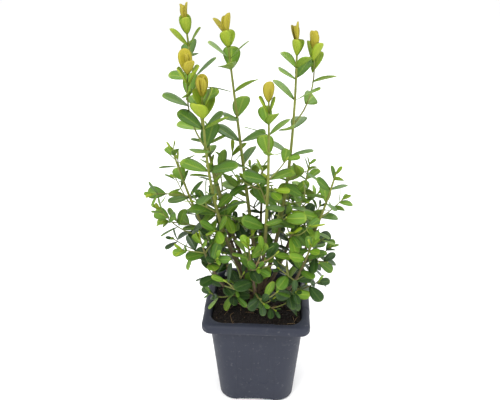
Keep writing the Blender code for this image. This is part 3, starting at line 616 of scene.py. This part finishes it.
class Plant:
    # Shoots and leaves, grown one after another, each only where it is free to stand
    def __init__(self):
        self.stems, self.spines, self.twigs, self.leaves, self.axils = {}, {}, [], [], []
        self.middles, self.reaches, self.rooms, self.fine = np.empty((0, 3)), np.empty(0), [], False
        for name, s in shoots.items():
            path = bend(self.seat(s), s["bend"], s["tip"], plantShape["pathSteps"])
            split = round(s["bare"] * plantShape["pathSteps"])
            s["path"] = path
            self.stems[name] = thinned(path[split:], plantShape["stemPoints"])
            self.spines[name] = path[split::2]
            bough = thinned(path[:split + 1], plantShape["boughPoints"])
            self.takeLimb("", name, bough, plantShape["boughRadius"])

    # From here on growth stays between two corners and near the leaves that stand already
    def reachFor(self, near, low, high):
        self.fine, self.near = True, near
        self.low, self.high = np.array(low), np.array(high)
        self.solidLeaves = np.array([leaf["root"] + 0.5 * leaf["length"] * leaf["along"]
                                     for leaf in self.leaves])

    # Between the corners, and the points' middle no further than near from a leaf of the solids
    def inReach(self, points):
        if (points < self.low).any() or (points > self.high).any():
            return False
        return np.linalg.norm(self.solidLeaves - points.mean(axis=0), axis=1).min() < self.near

    def takeRoom(self, room):
        self.middles = np.vstack([self.middles, room["middle"]])
        self.reaches = np.append(self.reaches, room["reach"])
        self.rooms.append(room)

    def takeLimb(self, mass, stem, path, radius):
        for i in range(len(path) - 1):
            self.takeRoom(limbRoom(mass, stem, path[i:i + 2], radius))

    def isFree(self, room, inside=True):
        away = np.linalg.norm(self.middles - room["middle"], axis=1) - self.reaches - room["reach"]
        for i in np.flatnonzero(away < plantShape["roomReach"]):
            other = self.rooms[i]
            if self.fine or other["mass"] == room["mass"]:  # finer growth only keeps its cores apart
                if inside and not areKin(room, other) and room["core"].overlap(other["core"]):
                    return False
            elif room["whole"].overlap(other["whole"]):
                return False
        return True

    # Where a bough starts: on top of the foot for a leader, round its side for a low shoot, a gap clear of it
    def seat(self, s):
        angle = math.radians(s["seat"])
        out = np.array([math.cos(angle), math.sin(angle), 0.0])
        radius, gap = plantShape["boughRadius"], plantShape["gap"]
        if s["habit"] == "leader":
            seat = footPlace + plantShape["topSeat"] * out + (plantShape["footHeight"] + gap) * up
            return seat + radius * np.linalg.norm(unit(s["bend"] - seat)[:2]) * up
        seat = footPlace + (plantShape["footRadius"] + gap) * out + plantShape["sideSeat"] * up
        return seat + radius * abs(unit(s["bend"] - seat)[2]) * out

    # A mass's space: where its own stem is nearer than any other, give or take the slack
    def inSpace(self, points, name):
        if self.fine:
            return self.inReach(points)
        far = {key: np.linalg.norm(points[:, None] - spine[None], axis=2).min(axis=1)
               for key, spine in self.spines.items()}
        return all((far[name] < far[key] + 2 * plantShape["slack"]).all() for key in far if key != name)

    # A leaf stands only above the soil, clear of the rim, in its mass's space and free of the rest
    def addLeaf(self, leaf):
        edge = corners(leaf, wholeOutline)
        low, wide = edge[:, 2].min(), np.abs(edge[:, :2]).max()
        if low < plantShape["lowestLeaf"]:
            return
        if low < potShape["height"] + plantShape["rimClear"] and wide > plantShape["insideRim"]:
            return
        room = leafRoom(leaf)
        if self.inSpace(edge[1:], leaf["mass"]) and self.isFree(room):
            self.leaves.append(leaf)
            self.takeRoom(room)

    # Growth as it stood before a twig: every list goes back to its earlier length
    def cutBack(self, twigs, leaves, axils, rooms):
        del self.twigs[twigs:], self.leaves[leaves:], self.axils[axils:], self.rooms[rooms:]
        self.middles, self.reaches = self.middles[:rooms], self.reaches[:rooms]

    def addTwig(self, name, stem, path, radius, smooth):
        self.twigs.append(smooth)
        self.takeLimb(name, stem, path, radius)

    # How many points of a path are free, counted from its base
    def freePoints(self, name, path):
        for i in range(1, len(path)):
            room = limbRoom(name, None, path[i - 1:i + 1], plantShape["sideRadius"])
            if path[i, 2] < plantShape["lowestTwig"] or not self.inSpace(path[i:i + 1], name):
                return i
            if not self.isFree(room, inside=i >= plantShape["sideStart"]):
                return i
        return len(path)

    def isClear(self, name, path):
        return all(self.isFree(limbRoom(name, None, path[i:i + 2], plantShape["sideRadius"]), inside=False)
                   for i in range(len(path) - 1))

    # Opposite pairs from the tip down, each a quarter turn on from the last, with the gaps of the habit's rule
    def growLeaves(self, name, stem, path, habit, leafLength, turn, rng):
        rule, run = habits[habit], runOf(path)[-1]
        found, down, index = [], 0.0, 0
        while run - down > plantShape["stemEnd"]:
            point, heading = placeOn(path, run - down)
            first, second = across(heading)
            angle = math.radians(turn + 90 * index + rng.normal(0, 7))
            side = math.cos(angle) * first + math.sin(angle) * second
            for sign in (-1, 1):
                leaf = self.leafAt(point, heading, sign * side, rule, index, leafLength, rng)
                self.addLeaf(dict(leaf, mass=name, stem=stem, habit=habit))
            found.append((run - down, index, side))
            self.axils.append((name, path, run - down, index, side, habit))
            down += rule["gap"] * rule["steps"][min(index, len(rule["steps"]) - 1)] * rng.uniform(0.92, 1.08)
            index += 1
        return found

    # One leaf: it opens from the heading by its pair's angle, droops, and turns its face to the light
    def leafAt(self, point, heading, side, rule, index, leafLength, rng):
        opening = math.radians(rule["openings"][min(index, len(rule["openings"]) - 1)] + rng.normal(0, 6))
        along = unit(math.cos(opening) * heading + math.sin(opening) * side - rule["droop"] * up)
        out = np.array([point[0] - footPlace[0], point[1] - footPlace[1], 0.0])
        light = unit(0.8 * up + 0.6 * out / (np.linalg.norm(out) + 0.008))
        lift = rule["lift"] if index >= rule["levelFrom"] else 0.0
        normal = (1 - lift) * (math.sin(opening) * heading - math.cos(opening) * side) + lift * light
        normal = unit(normal - along * (normal @ along))
        roll = math.radians(rng.normal(0, rule["roll"]))
        normal = math.cos(roll) * normal + math.sin(roll) * np.cross(along, normal)
        length = leafLength * rule["sizes"][min(index, len(rule["sizes"]) - 1)] * rng.uniform(0.9, 1.1)
        slim = (0.42, 0.52)[index] if index < 2 else rng.uniform(0.54, 0.64)
        return dict(root=point, along=along, normal=normal, length=length, width=length * slim, index=index)

    # A fork: a curve that leaves the stem aslant at a height and ends at a tip
    def growFork(self, name, s, height, tip, habit, rng):
        stem = self.stems[name]
        base, heading = placeOn(stem, np.interp(height, stem[:, 2], runOf(stem)))
        reach = tip - base
        slant = unit(unit(reach) + 0.9 * unit(reach - heading * (reach @ heading)))
        path = bend(base, base + 0.5 * np.linalg.norm(reach) * slant, tip, plantShape["sideSteps"])
        self.growAlong(name, path, habit, s["leaf"], rng)

    # A side shoot: a curve that leaves aslant and bends up or out to its rise
    def growSide(self, name, path, distance, out, length, rise, habit, leafLength, rng):
        base, heading = placeOn(path, distance)
        flat = unit(out - heading * (out @ heading))
        slant = unit(0.75 * flat + 0.65 * heading)
        level = np.array([flat[0], flat[1], 0.0])
        if np.linalg.norm(level) < 0.2:
            level = np.array([base[0] - footPlace[0], base[1] - footPlace[1], 0.0])
        last = math.cos(math.radians(rise)) * unit(level) + math.sin(math.radians(rise)) * up
        tip = base + length * unit(0.45 * slant + 0.75 * last)
        path = bend(base, base + 0.5 * length * slant, tip, plantShape["sideSteps"])
        self.growAlong(name, path, habit, leafLength, rng)

    # A twig along the free stretch of a path, with its leaves
    def growAlong(self, name, path, habit, leafLength, rng):
        turn = rng.uniform(0, 180)
        free = self.freePoints(name, path)
        if free < plantShape["shortestSide"]:
            return
        smooth, path = path[:free], thinned(path[:free], plantShape["sidePoints"])
        if self.isClear(name, path):
            stem, before = len(self.twigs), (len(self.leaves), len(self.axils), len(self.rooms))
            self.addTwig(name, stem, path, plantShape["sideRadius"], smooth)
            self.growLeaves(name, stem, path, habit, leafLength, turn, rng)
            if self.fine and len(self.leaves) < before[0] + 2:  # no bare finer twigs
                self.cutBack(stem, *before)

    def grow(self):
        rngs = {name: np.random.default_rng(s["seed"]) for name, s in shoots.items()}
        found = {}
        for name, s in shoots.items():
            self.addTwig(name, name, self.stems[name], plantShape["stemRadius"], s["path"])
        for name, s in shoots.items():
            found[name] = self.growLeaves(name, name, self.stems[name], s["habit"], s["leaf"], s["turn"],
                                          rngs[name])
        for name, s in shoots.items():
            for height, tip, habit in s["forks"]:
                self.growFork(name, s, height, np.array(tip), habit, rngs[name])
        for name, s in shoots.items():
            for distance, index, side in found[name]:
                if index >= s["sideFrom"]:
                    self.growSidePair(name, s, distance, index, side, rngs[name])

    def growSidePair(self, name, s, distance, index, side, rng):
        share = min(1.0, 0.5 + 0.12 * (index - s["sideFrom"] + 1))
        for sign in (-1, 1):
            length = s["side"] * share * rng.uniform(0.6, 1.1)
            self.growSide(name, self.stems[name], distance, sign * side, length, rng.uniform(10, 50), "side",
                          plantShape["sideLeaf"], rng)


plant = Plant()
plant.grow()
print("solid growth:", len(plant.leaves), "leaves,", len(plant.twigs), "twigs")


# Finer twigs and leaves from the axils that are left, in the crown's full middle and near its other leaves
fineShape = {"seed": 71, "rounds": 2, "lengths": (0.010, 0.024), "leaf": 0.0185, "top": 0.222, "near": 0.014,
             "low": (-0.048, -0.044, 0.088), "high": (0.054, 0.062, 0.236), "spread": 0.35, "rise": (5, 55),
             "firstLeader": 6}


def growFine():
    rng = np.random.default_rng(fineShape["seed"])
    plant.reachFor(fineShape["near"], fineShape["low"], fineShape["high"])
    for _ in range(fineShape["rounds"]):
        for name, path, distance, index, side, habit in list(plant.axils):
            point, _ = placeOn(path, distance)
            tooYoung = index < (fineShape["firstLeader"] if habit == "leader" else 1)
            if point[2] > fineShape["top"] or tooYoung:
                continue
            for sign in (-1, 1):
                out = sign * side + rng.normal(0, fineShape["spread"], 3)
                plant.growSide(name, path, distance, out, rng.uniform(*fineShape["lengths"]),
                               rng.uniform(*fineShape["rise"]), "fine", fineShape["leaf"], rng)


growFine()
print("with finer growth:", len(plant.leaves), "leaves,", len(plant.twigs), "twigs")

# Leaves: younger and older ones differ in cup and curl, and a leader's pairs are larger by a share each
leafShape = {
    "rows": 8, "columns": (-1.0, -0.6, 0.0, 0.6, 1.0), "stalk": 0.06, "stalkHalf": 0.00042, "thick": 0.00030,
    "leaderMore": (0.14, 0.16, 0.16, 0.10), "leaderWider": 1.3, "cupYoung": 0.34, "cupOld": 0.16,
    "curlYoung": -0.10, "curlOld": 0.10, "ripple": 0.02, "groove": 0.00035, "grooveWidth": 0.22,
    "shoulder": 0.55, "closing": 3.0, "widest": 0.687,
    # Heights and reach below and within which leaves take darker tints: painted shade as well as age
    "deepShadeBelow": 0.132, "dullShadeBelow": 0.160, "shadeBelow": 0.19, "insideReach": 0.030,
}
tints = {  # for each age of leaf: two base colours that mottle the blade, its margin's, and its roughness; the darkest tint is painted shade as well as age
    "tip": ((0.300, 0.265, 0.016), (0.440, 0.390, 0.026), (0.460, 0.380, 0.040), 0.50),
    "lime": ((0.150, 0.270, 0.008), (0.270, 0.400, 0.014), (0.400, 0.450, 0.035), 0.48),
    "fresh": ((0.082, 0.190, 0.007), (0.150, 0.285, 0.012), (0.300, 0.390, 0.035), 0.44),
    "mid": ((0.042, 0.118, 0.006), (0.080, 0.185, 0.010), (0.190, 0.290, 0.030), 0.40),
    # Darkest green, for low leaves and leaves inside the crown: painted shade as well as age
    "deep": ((0.012, 0.040, 0.006), (0.026, 0.074, 0.009), (0.080, 0.140, 0.025), 0.34),
}


# The tint of a leaf by its age, from its pair's number from the tip and its shoot's habit, and by its height
# and its depth inside, where darker tints are painted shade as well as age
def tintOf(leaf, rng):
    z, index = leaf["root"][2], leaf["index"]
    inside = np.linalg.norm(leaf["root"][:2] - footPlace[:2]) < leafShape["insideReach"]
    chance = rng.random()
    if leaf["habit"] == "leader":
        if index < 2:
            return "tip"
        if index < 4:
            return "lime" if index == 2 or chance < 0.45 else "fresh"
        return "fresh" if chance < (0.62 if index < 7 else 0.35) else "mid"
    # Low leaves, and leaves inside the crown, take darker tints: painted shade as well as age
    if z < leafShape["deepShadeBelow"]:
        return "deep" if chance < (0.80 if index > 0 else 0.45) else ("mid" if chance < 0.90 else "fresh")
    if z < leafShape["dullShadeBelow"]:
        return "deep" if chance < 0.42 else ("mid" if chance < 0.78 else "fresh")
    if index < 1:
        return "lime" if chance < 0.50 else "fresh"
    if index < 2:
        return "fresh" if chance < 0.7 else "mid"
    if inside and z < leafShape["shadeBelow"]:
        return "mid" if chance < 0.6 else "deep"
    return "fresh" if chance < 0.42 else "mid"


# One blade's grid: rings from root to tip, over the top and back underneath, with a point at each end
def bladeGrid():
    columns = np.array(leafShape["columns"])
    s = np.concatenate([columns, columns[-2:0:-1]])
    below = np.concatenate([np.zeros(len(columns)), np.ones(len(columns) - 2)])
    rows = np.sin(np.linspace(0, 0.5 * math.pi, leafShape["rows"] + 1))[1:-1]
    count, ring = len(rows), len(s)
    t = np.concatenate([[0.0], np.repeat(rows, ring), [1.0]])
    s = np.concatenate([[0.0], np.tile(s, count), [0.0]])
    under = np.concatenate([[0.0], np.tile(below, count), [0.0]])
    quads = [[a, d, c, b] for a, b, c, d in ringFaces(count, ring, 1)]
    last = 1 + count * ring
    fans = [[0, 1 + j, 1 + (j + 1) % ring] for j in range(ring)]
    fans += [[last, last - ring + (j + 1) % ring, last - ring + j] for j in range(ring)]
    return t, s, under, quads + fans


# Half the blade's width along its length, as a share of its widest: it rises by a power and closes by a root
def bladeHalf(t):
    rise = np.clip((t - leafShape["stalk"]) / (1 - leafShape["stalk"]), 0, 1)
    return rise ** leafShape["shoulder"] * np.sqrt(1 - rise ** leafShape["closing"]) / leafShape["widest"]


# All leaves of one tint at once: along, across and above each blade's plane by its cup, curl, ripple and
# groove
def leafPoints(leaves, young, rng):
    t, s, under, faces = bladeGrid()
    count = len(leaves)
    root, along, normal = (np.array([leaf[key] for leaf in leaves]) for key in ("root", "along", "normal"))
    side = np.cross(normal, along)
    length, width = (np.array([leaf[key] for leaf in leaves])[:, None] for key in ("length", "width"))
    more = np.array([leafShape["leaderMore"][min(leaf["index"], 3)] if leaf["habit"] == "leader" else 0.0
                     for leaf in leaves])[:, None]
    length, width = length * (1 + more), width * (1 + leafShape["leaderWider"] * more)
    cup = (leafShape["cupYoung"] if young else leafShape["cupOld"]) * rng.uniform(0.4, 1.5, (count, 1))
    curl = (leafShape["curlYoung"] if young else leafShape["curlOld"]) * rng.uniform(0.1, 1.6, (count, 1))
    half = np.maximum(0.5 * width * bladeHalf(t), leafShape["stalkHalf"] * (1 - t))
    ripple = leafShape["ripple"] * length * np.sin(3.0 * t + 6 * rng.random((count, 1))) * s
    groove = leafShape["groove"] * np.exp(-(s / leafShape["grooveWidth"]) ** 2) * (1 - under)
    height = cup * half * s ** 2 - curl * length * t ** 2 + ripple - groove * np.minimum(t * 6, 1) * (1 - t)
    height = height - leafShape["thick"] * under * (1 - 0.5 * np.abs(s))
    points = (root[:, None] + (length * t * (1 - 0.12 * np.abs(curl) * t))[..., None] * along[:, None]
              + (half * s)[..., None] * side[:, None] + height[..., None] * normal[:, None])
    base = np.arange(count)[:, None, None] * len(t)
    quads = (np.array([f for f in faces if len(f) == 4])[None] + base).reshape(-1, 4).tolist()
    fans = (np.array([f for f in faces if len(f) == 3])[None] + base).reshape(-1, 3).tolist()
    values = {"bladeAlong": np.tile(t, count), "bladeAcross": np.tile(s, count),
              "bladeUnder": np.tile(under, count),
              "leafTone": np.repeat(rng.random(count), len(t))}
    return points.reshape(-1, 3), quads + fans, values


# A blade: mottled between two greens, with a paler rib, side veins, margin and underside
def leafLook(name):
    dark, light, margin, rough = tints[name]
    look = Look(name + "Leaf", Specular_IOR_Level=0.34)
    along, side = look.attribute("bladeAlong"), abs(look.attribute("bladeAcross"))
    tone, under = look.attribute("leafTone"), look.attribute("bladeUnder")
    mottle, speck = look.noise(260.0, 4.0, 0.6), look.noise(1400.0, 2.0)
    rib = (1 - side.band(0.03, 0.16)) * (1 - along.band(0.80, 1.0))
    vein = (along * 62.0 - side * 16.0).wave().band(0.55, 1.0) * (1 - side.band(0.70, 1.0))
    edge = side.larger(along * 1.02).band(0.86, 1.0)
    colour = look.mix(tone * 0.75 + mottle * 0.5 - 0.12, dark, light)
    colour = look.mix(vein * 0.16, colour, margin)
    colour = look.mix(edge * 0.55, colour, margin)
    colour = look.mix(rib * 0.50, colour, margin)
    colour = look.mix(under * 0.45, colour, tuple(0.75 * c + 0.01 for c in margin))
    height = mottle * 0.35 + speck * 0.10 - rib * 0.5 + vein * 0.30
    return look.finish(colour, rough + mottle * 0.16 + under * 0.2, height, 0.00025)


# The leaves dealt out by tint, each tint one piece
def makeLeaves():
    rng = np.random.default_rng(5)
    byTint = {name: [] for name in tints}
    for leaf in plant.leaves:
        byTint[tintOf(leaf, rng)].append(leaf)
    masses = ["mass_" + name for name in shoots]
    for name, leaves in byTint.items():
        points, faces, values = leafPoints(leaves, name in ("tip", "lime"), rng)
        piece("leaves_" + name, points, faces, [leafLook(name)],
              "young_leaves" if name in ("tip", "lime", "fresh") else "old_leaves",
              masses if name == "mid" else (), values)
        print(name, len(leaves), "leaves")


# Wood
woodShape = {
    "shootSides": 10, "shootRows": 90, "baseRadius": 0.0019, "tipRadius": 0.0007, "relief": 0.10,
    "ridgesAlong": 9, "ridgesRound": 0.9, "ridgeScale": 1.7, "ridgeSeed": 20,
    "swell": 0.10, "swells": 22, "swellWidth": 0.12,
    "greenFrom": 0.10, "greenOver": 0.13, "twigSides": 6, "twigRows": 10,
    "twigBase": 0.00075, "twigTip": 0.00045,
    "oldBark": ((0.060, 0.042, 0.022), (0.155, 0.110, 0.060)), "scar": (0.19, 0.10, 0.035),
    "greenBark": ((0.140, 0.170, 0.030), (0.260, 0.280, 0.055)),
    "twigBark": ((0.115, 0.150, 0.030), (0.250, 0.270, 0.060)), "twigScar": (0.17, 0.12, 0.045),
}


# Main shoots: a tapering sweep along the whole curve, its radius roughened by ridges that fade towards the tip
def makeShoots():
    shapes, ages, sides = [], [], woodShape["shootSides"]
    for number, s in enumerate(shoots.values()):
        path = evened(s["path"], woodShape["shootRows"])
        t = np.linspace(0, 1, len(path))[:, None]
        along, aside = t * woodShape["ridgesAlong"] + number, np.arange(sides)[None] * woodShape["ridgesRound"]
        ridge = valueNoise(along, aside, woodShape["ridgeScale"], woodShape["ridgeSeed"] + number)
        phase = (t * woodShape["swells"] % 1 - 0.5) / woodShape["swellWidth"]
        swell = woodShape["swell"] * np.exp(-phase ** 2)
        taper = woodShape["baseRadius"] + (woodShape["tipRadius"] - woodShape["baseRadius"]) * t
        shapes.append(skin(sweep(path, taper * (1 + ridge * woodShape["relief"] * (1 - t) + swell), sides)))
        age = np.clip((path[:, 2] - woodShape["greenFrom"]) / woodShape["greenOver"], 0, 1)
        ages.append(np.repeat(age, sides))
    points, faces = gathered(shapes)
    piece("mainShoots", points, faces, [barkLook()], "bark", ["bough_" + name for name in shoots],
          {"shootAge": np.concatenate(ages)})


# Bark: brown and streaked on old wood, green and finely mottled on young, with rusty scars
def barkLook():
    look = Look("shootBark", Specular_IOR_Level=0.35)
    age = look.attribute("shootAge")
    streak, fine = look.noise(300.0, 5.0, 0.7), look.noise(1300.0, 3.0)
    old, green = look.mix(streak, *woodShape["oldBark"]), look.mix(fine, *woodShape["greenBark"])
    colour = look.mix(age.band(0.15, 0.75), old, green)
    colour = look.mix(streak.band(0.60, 0.72) * 0.4, colour, woodShape["scar"])
    return look.finish(colour, 0.50 + streak * 0.3, streak + fine * 0.4, 0.0004)


# Side twigs: slender tapering sweeps along their smooth curves
def makeTwigs():
    shapes = []
    for smooth in plant.twigs[len(shoots):]:
        path = evened(smooth, woodShape["twigRows"])
        t = np.linspace(0, 1, len(path))[:, None]
        radius = woodShape["twigBase"] + (woodShape["twigTip"] - woodShape["twigBase"]) * t
        shapes.append(skin(sweep(path, radius, woodShape["twigSides"])))
    look = Look("twigBark", Specular_IOR_Level=0.4)
    streak = look.noise(500.0, 4.0)
    colour = look.mix(streak, *woodShape["twigBark"])
    colour = look.mix(look.noise(90.0).band(0.5, 0.7), colour, woodShape["twigScar"])
    made = look.finish(colour, 0.5 + streak * 0.2, streak, 0.0003)
    piece("sideTwigs", *gathered(shapes), [made], "young_leaves")


budShape = {"seed": 9, "half": (0.00070, 0.00070, 0.0018), "sizes": (0.8, 1.25), "ahead": 0.0012,
            "aside": (0.31, 0.92, 0.24), "scales": ((0.17, 0.26, 0.015), (0.30, 0.38, 0.030))}


# Buds: a slim bead at each shoot's tip, its long half along the shoot's heading
def makeBuds():
    rng = np.random.default_rng(budShape["seed"])
    tips = np.array([smooth[-1] for smooth in plant.twigs])
    heading = np.array([unit(smooth[-1] - smooth[-2]) for smooth in plant.twigs])
    first = np.cross(heading, budShape["aside"])
    first /= np.linalg.norm(first, axis=1)[:, None]
    turns = np.stack([first, np.cross(heading, first), heading], axis=1)
    sizes = rng.uniform(*budShape["sizes"], (len(tips), 1)) * np.array([budShape["half"]])
    look = Look("budScales", Specular_IOR_Level=0.4)
    mottle = look.noise(800.0)
    made = look.finish(look.mix(mottle, *budShape["scales"]), 0.45 + mottle * 0.1, mottle, 0.0002)
    piece("buds", *beads(tips + budShape["ahead"] * heading, sizes, turns), [made], "young_leaves")


footShape = {"below": -0.0012, "rows": 24, "sides": 28, "heights": (-0.0012, 0.0, 0.002, 0.005, 0.008, 0.009),
             "radii": (0.0078, 0.0074, 0.0058, 0.0052, 0.0056, 0.0048), "ribs": 5, "ribDepth": 0.06,
             "roughDepth": 0.05, "seed": 33, "bark": ((0.045, 0.032, 0.018), (0.130, 0.095, 0.055))}


# The stem's foot: a flared sweep up to where the boughs sit, with ribs and rough bark round it
def makeFoot():
    rise = np.linspace(footShape["below"], plantShape["footHeight"], footShape["rows"])
    sides = footShape["sides"]
    turn = np.arange(sides)[None] * (2 * math.pi / sides)
    radius = np.interp(rise, footShape["heights"], footShape["radii"])
    rough = footShape["roughDepth"] * valueNoise(turn * 3, rise[:, None] * 500, 1.0, footShape["seed"])
    ridge = footShape["ribDepth"] * np.cos(footShape["ribs"] * turn + 0.4) + rough
    look = Look("footBark", Specular_IOR_Level=0.3)
    streak = look.noise(420.0, 5.0, 0.75)
    made = look.finish(look.mix(streak, *footShape["bark"]), 0.7 + streak * 0.2, streak, 0.0005)
    piece("footBarkPiece", *skin(sweep(footPlace + rise[:, None] * up, radius[:, None] * (1 + ridge), sides)),
          [made], "bark", ["stem_foot"])


litterShape = {"seed": 44, "whiteGrain": (0.0068, -0.0069), "grainHalf": (0.0011, 0.0008, 0.0007),
               "grainLift": 0.0006, "white": ((0.55, 0.53, 0.50), (0.80, 0.79, 0.76)),
               "dryTwig": ((-0.0219, 0.0004), (-0.0105, -0.0125), (0.0009, -0.0128)),
               "twigRadii": (0.00040, 0.00022), "twigLift": 0.0003, "fibres": 46, "fibreHalf": (0.002, 0.006),
               "fibreTurn": 9e3, "fibreArch": 0.0016, "fibreEnd": 0.0004, "fibreRadius": 0.00016,
               "straw": ((0.17, 0.10, 0.045), (0.36, 0.25, 0.13))}


# The white grain and the thin dry twig that lie on the soil, with a few fibres of peat that arch over it
def makeLitter():
    x, y = litterShape["whiteGrain"]
    place = np.array([[x, y, float(soilHeight(x, y)) + litterShape["grainLift"]]])
    look = Look("whiteGrain", Specular_IOR_Level=0.4)
    grain = look.noise(1200.0)
    made = look.finish(look.mix(grain, *litterShape["white"]), 0.6 + grain * 0.2, grain, 0.0003)
    piece("whiteGrain", *beads(place, np.array([litterShape["grainHalf"]]), np.eye(3)[None]), [made], "soil")
    path = bend(*(np.array([*p, 0.0]) for p in litterShape["dryTwig"]), 30)
    path[:, 2] = soilHeight(path[:, 0], path[:, 1]).max() + litterShape["twigLift"]
    shapes = [skin(sweep(path, np.linspace(*litterShape["twigRadii"], len(path))[:, None], 6))]
    rng = np.random.default_rng(litterShape["seed"])
    for place in soilPlaces(litterShape["fibres"], rng):
        turn = place[0] * litterShape["fibreTurn"]
        reach = rng.uniform(*litterShape["fibreHalf"]) * np.array([math.cos(turn), math.sin(turn), 0.0])
        path = bend(place - reach, place + litterShape["fibreArch"] * up,
                    place + reach + litterShape["fibreEnd"] * up, 8)
        shapes.append(skin(sweep(path, np.full((len(path), 1), litterShape["fibreRadius"]), 4)))
    look = Look("dryFibre", Specular_IOR_Level=0.3)
    streak = look.noise(600.0)
    made = look.finish(look.mix(streak, *litterShape["straw"]), 0.7 + streak * 0.2, streak, 0.0002)
    piece("dryTwigs", *gathered(shapes), [made], "soil")


# Build
pot = piece("potBody", *makePotShape(), [potLook()], "pot", ["pot"], smoothUnder=40)
cutDrains(pot)
pot.data.shade_smooth()
pot.data.set_sharp_from_angle(angle=math.radians(40))
print("pot done")
darkSoil = soilLook("darkPeat", *soilShape["darkPeat"])
piece("soilTop", *makeSoilShape(), [darkSoil], "soil", ["soil"])
piece("soilCrumbs", *makeCrumbs(soilShape["crumbs"], *soilShape["crumbSize"], 41), [darkSoil], "soil")
paleSoil = soilLook("palePeat", *soilShape["palePeat"])
piece("soilSpecks", *makeCrumbs(soilShape["paleCrumbs"], *soilShape["paleSize"], 42), [paleSoil], "soil")
makeLitter()
makeFoot()
makeShoots()
makeTwigs()
makeBuds()
makeLeaves()

# Floor, light and camera: each light has its place, its aim, its size and its watts
stageShape = {
    "floor": 12.0, "floorColours": ((0.94, 0.94, 0.94), (0.96, 0.96, 0.96)), "world": 1.04, "lens": 41.8,
    "sensor": 36.0, "camera": (0.015586, -0.417919, 0.399579), "turn": (63.0, 0.0, 3.055),
    "lights": {"keyLight": ((-0.55, -0.75, 1.15), (0, 0, 0.16), 0.7, 11.0),
               "fillLight": ((0.9, -0.5, 0.7), (0, 0, 0.15), 0.9, 5.0),
               "backLight": ((0.2, 0.9, 0.9), (0, 0, 0.18), 0.8, 6.0)},
}


def makeFloor():
    half = stageShape["floor"]
    mesh = bpy.data.meshes.new("floor")
    square = [(-half, -half, 0), (half, -half, 0), (half, half, 0), (-half, half, 0)]
    mesh.from_pydata(square, [], [(0, 1, 2, 3)])
    look = Look("paleFloor", Specular_IOR_Level=0.1)
    cloud = look.noise(2.0)
    colour = look.mix(cloud, *stageShape["floorColours"])
    mesh.materials.append(look.finish(colour, 0.9 + cloud * 0.05, cloud, 0.0001))
    floor = bpy.data.objects.new("floor", mesh)
    bpy.context.scene.collection.objects.link(floor)


# A square soft light that faces its aim
def makeLight(name, place, aim, size, power):
    data = bpy.data.lights.new(name, "AREA")
    data.size, data.energy = size, power
    light = bpy.data.objects.new(name, data)
    bpy.context.scene.collection.objects.link(light)
    light.location = place
    direction = np.array(aim) - np.array(place)
    light.rotation_euler = (math.atan2(np.linalg.norm(direction[:2]), -direction[2]), 0.0,
                            math.atan2(direction[1], direction[0]) - math.pi / 2)


makeFloor()
for lightName, settings in stageShape["lights"].items():
    makeLight(lightName, *settings)
world = bpy.data.worlds.new("world")
world.use_nodes = True
world.node_tree.nodes["Background"].inputs["Color"].default_value = (1.0, 1.0, 1.0, 1.0)
world.node_tree.nodes["Background"].inputs["Strength"].default_value = stageShape["world"]
bpy.context.scene.world = world
bpy.context.scene.view_settings.view_transform = "Standard"
cameraData = bpy.data.cameras.new("camera")
cameraData.lens, cameraData.sensor_width = stageShape["lens"], stageShape["sensor"]
camera = bpy.data.objects.new("camera", cameraData)
bpy.context.scene.collection.objects.link(camera)
camera.location = stageShape["camera"]
camera.rotation_euler = [math.radians(a) for a in stageShape["turn"]]
bpy.context.scene.camera = camera
print("stage done")
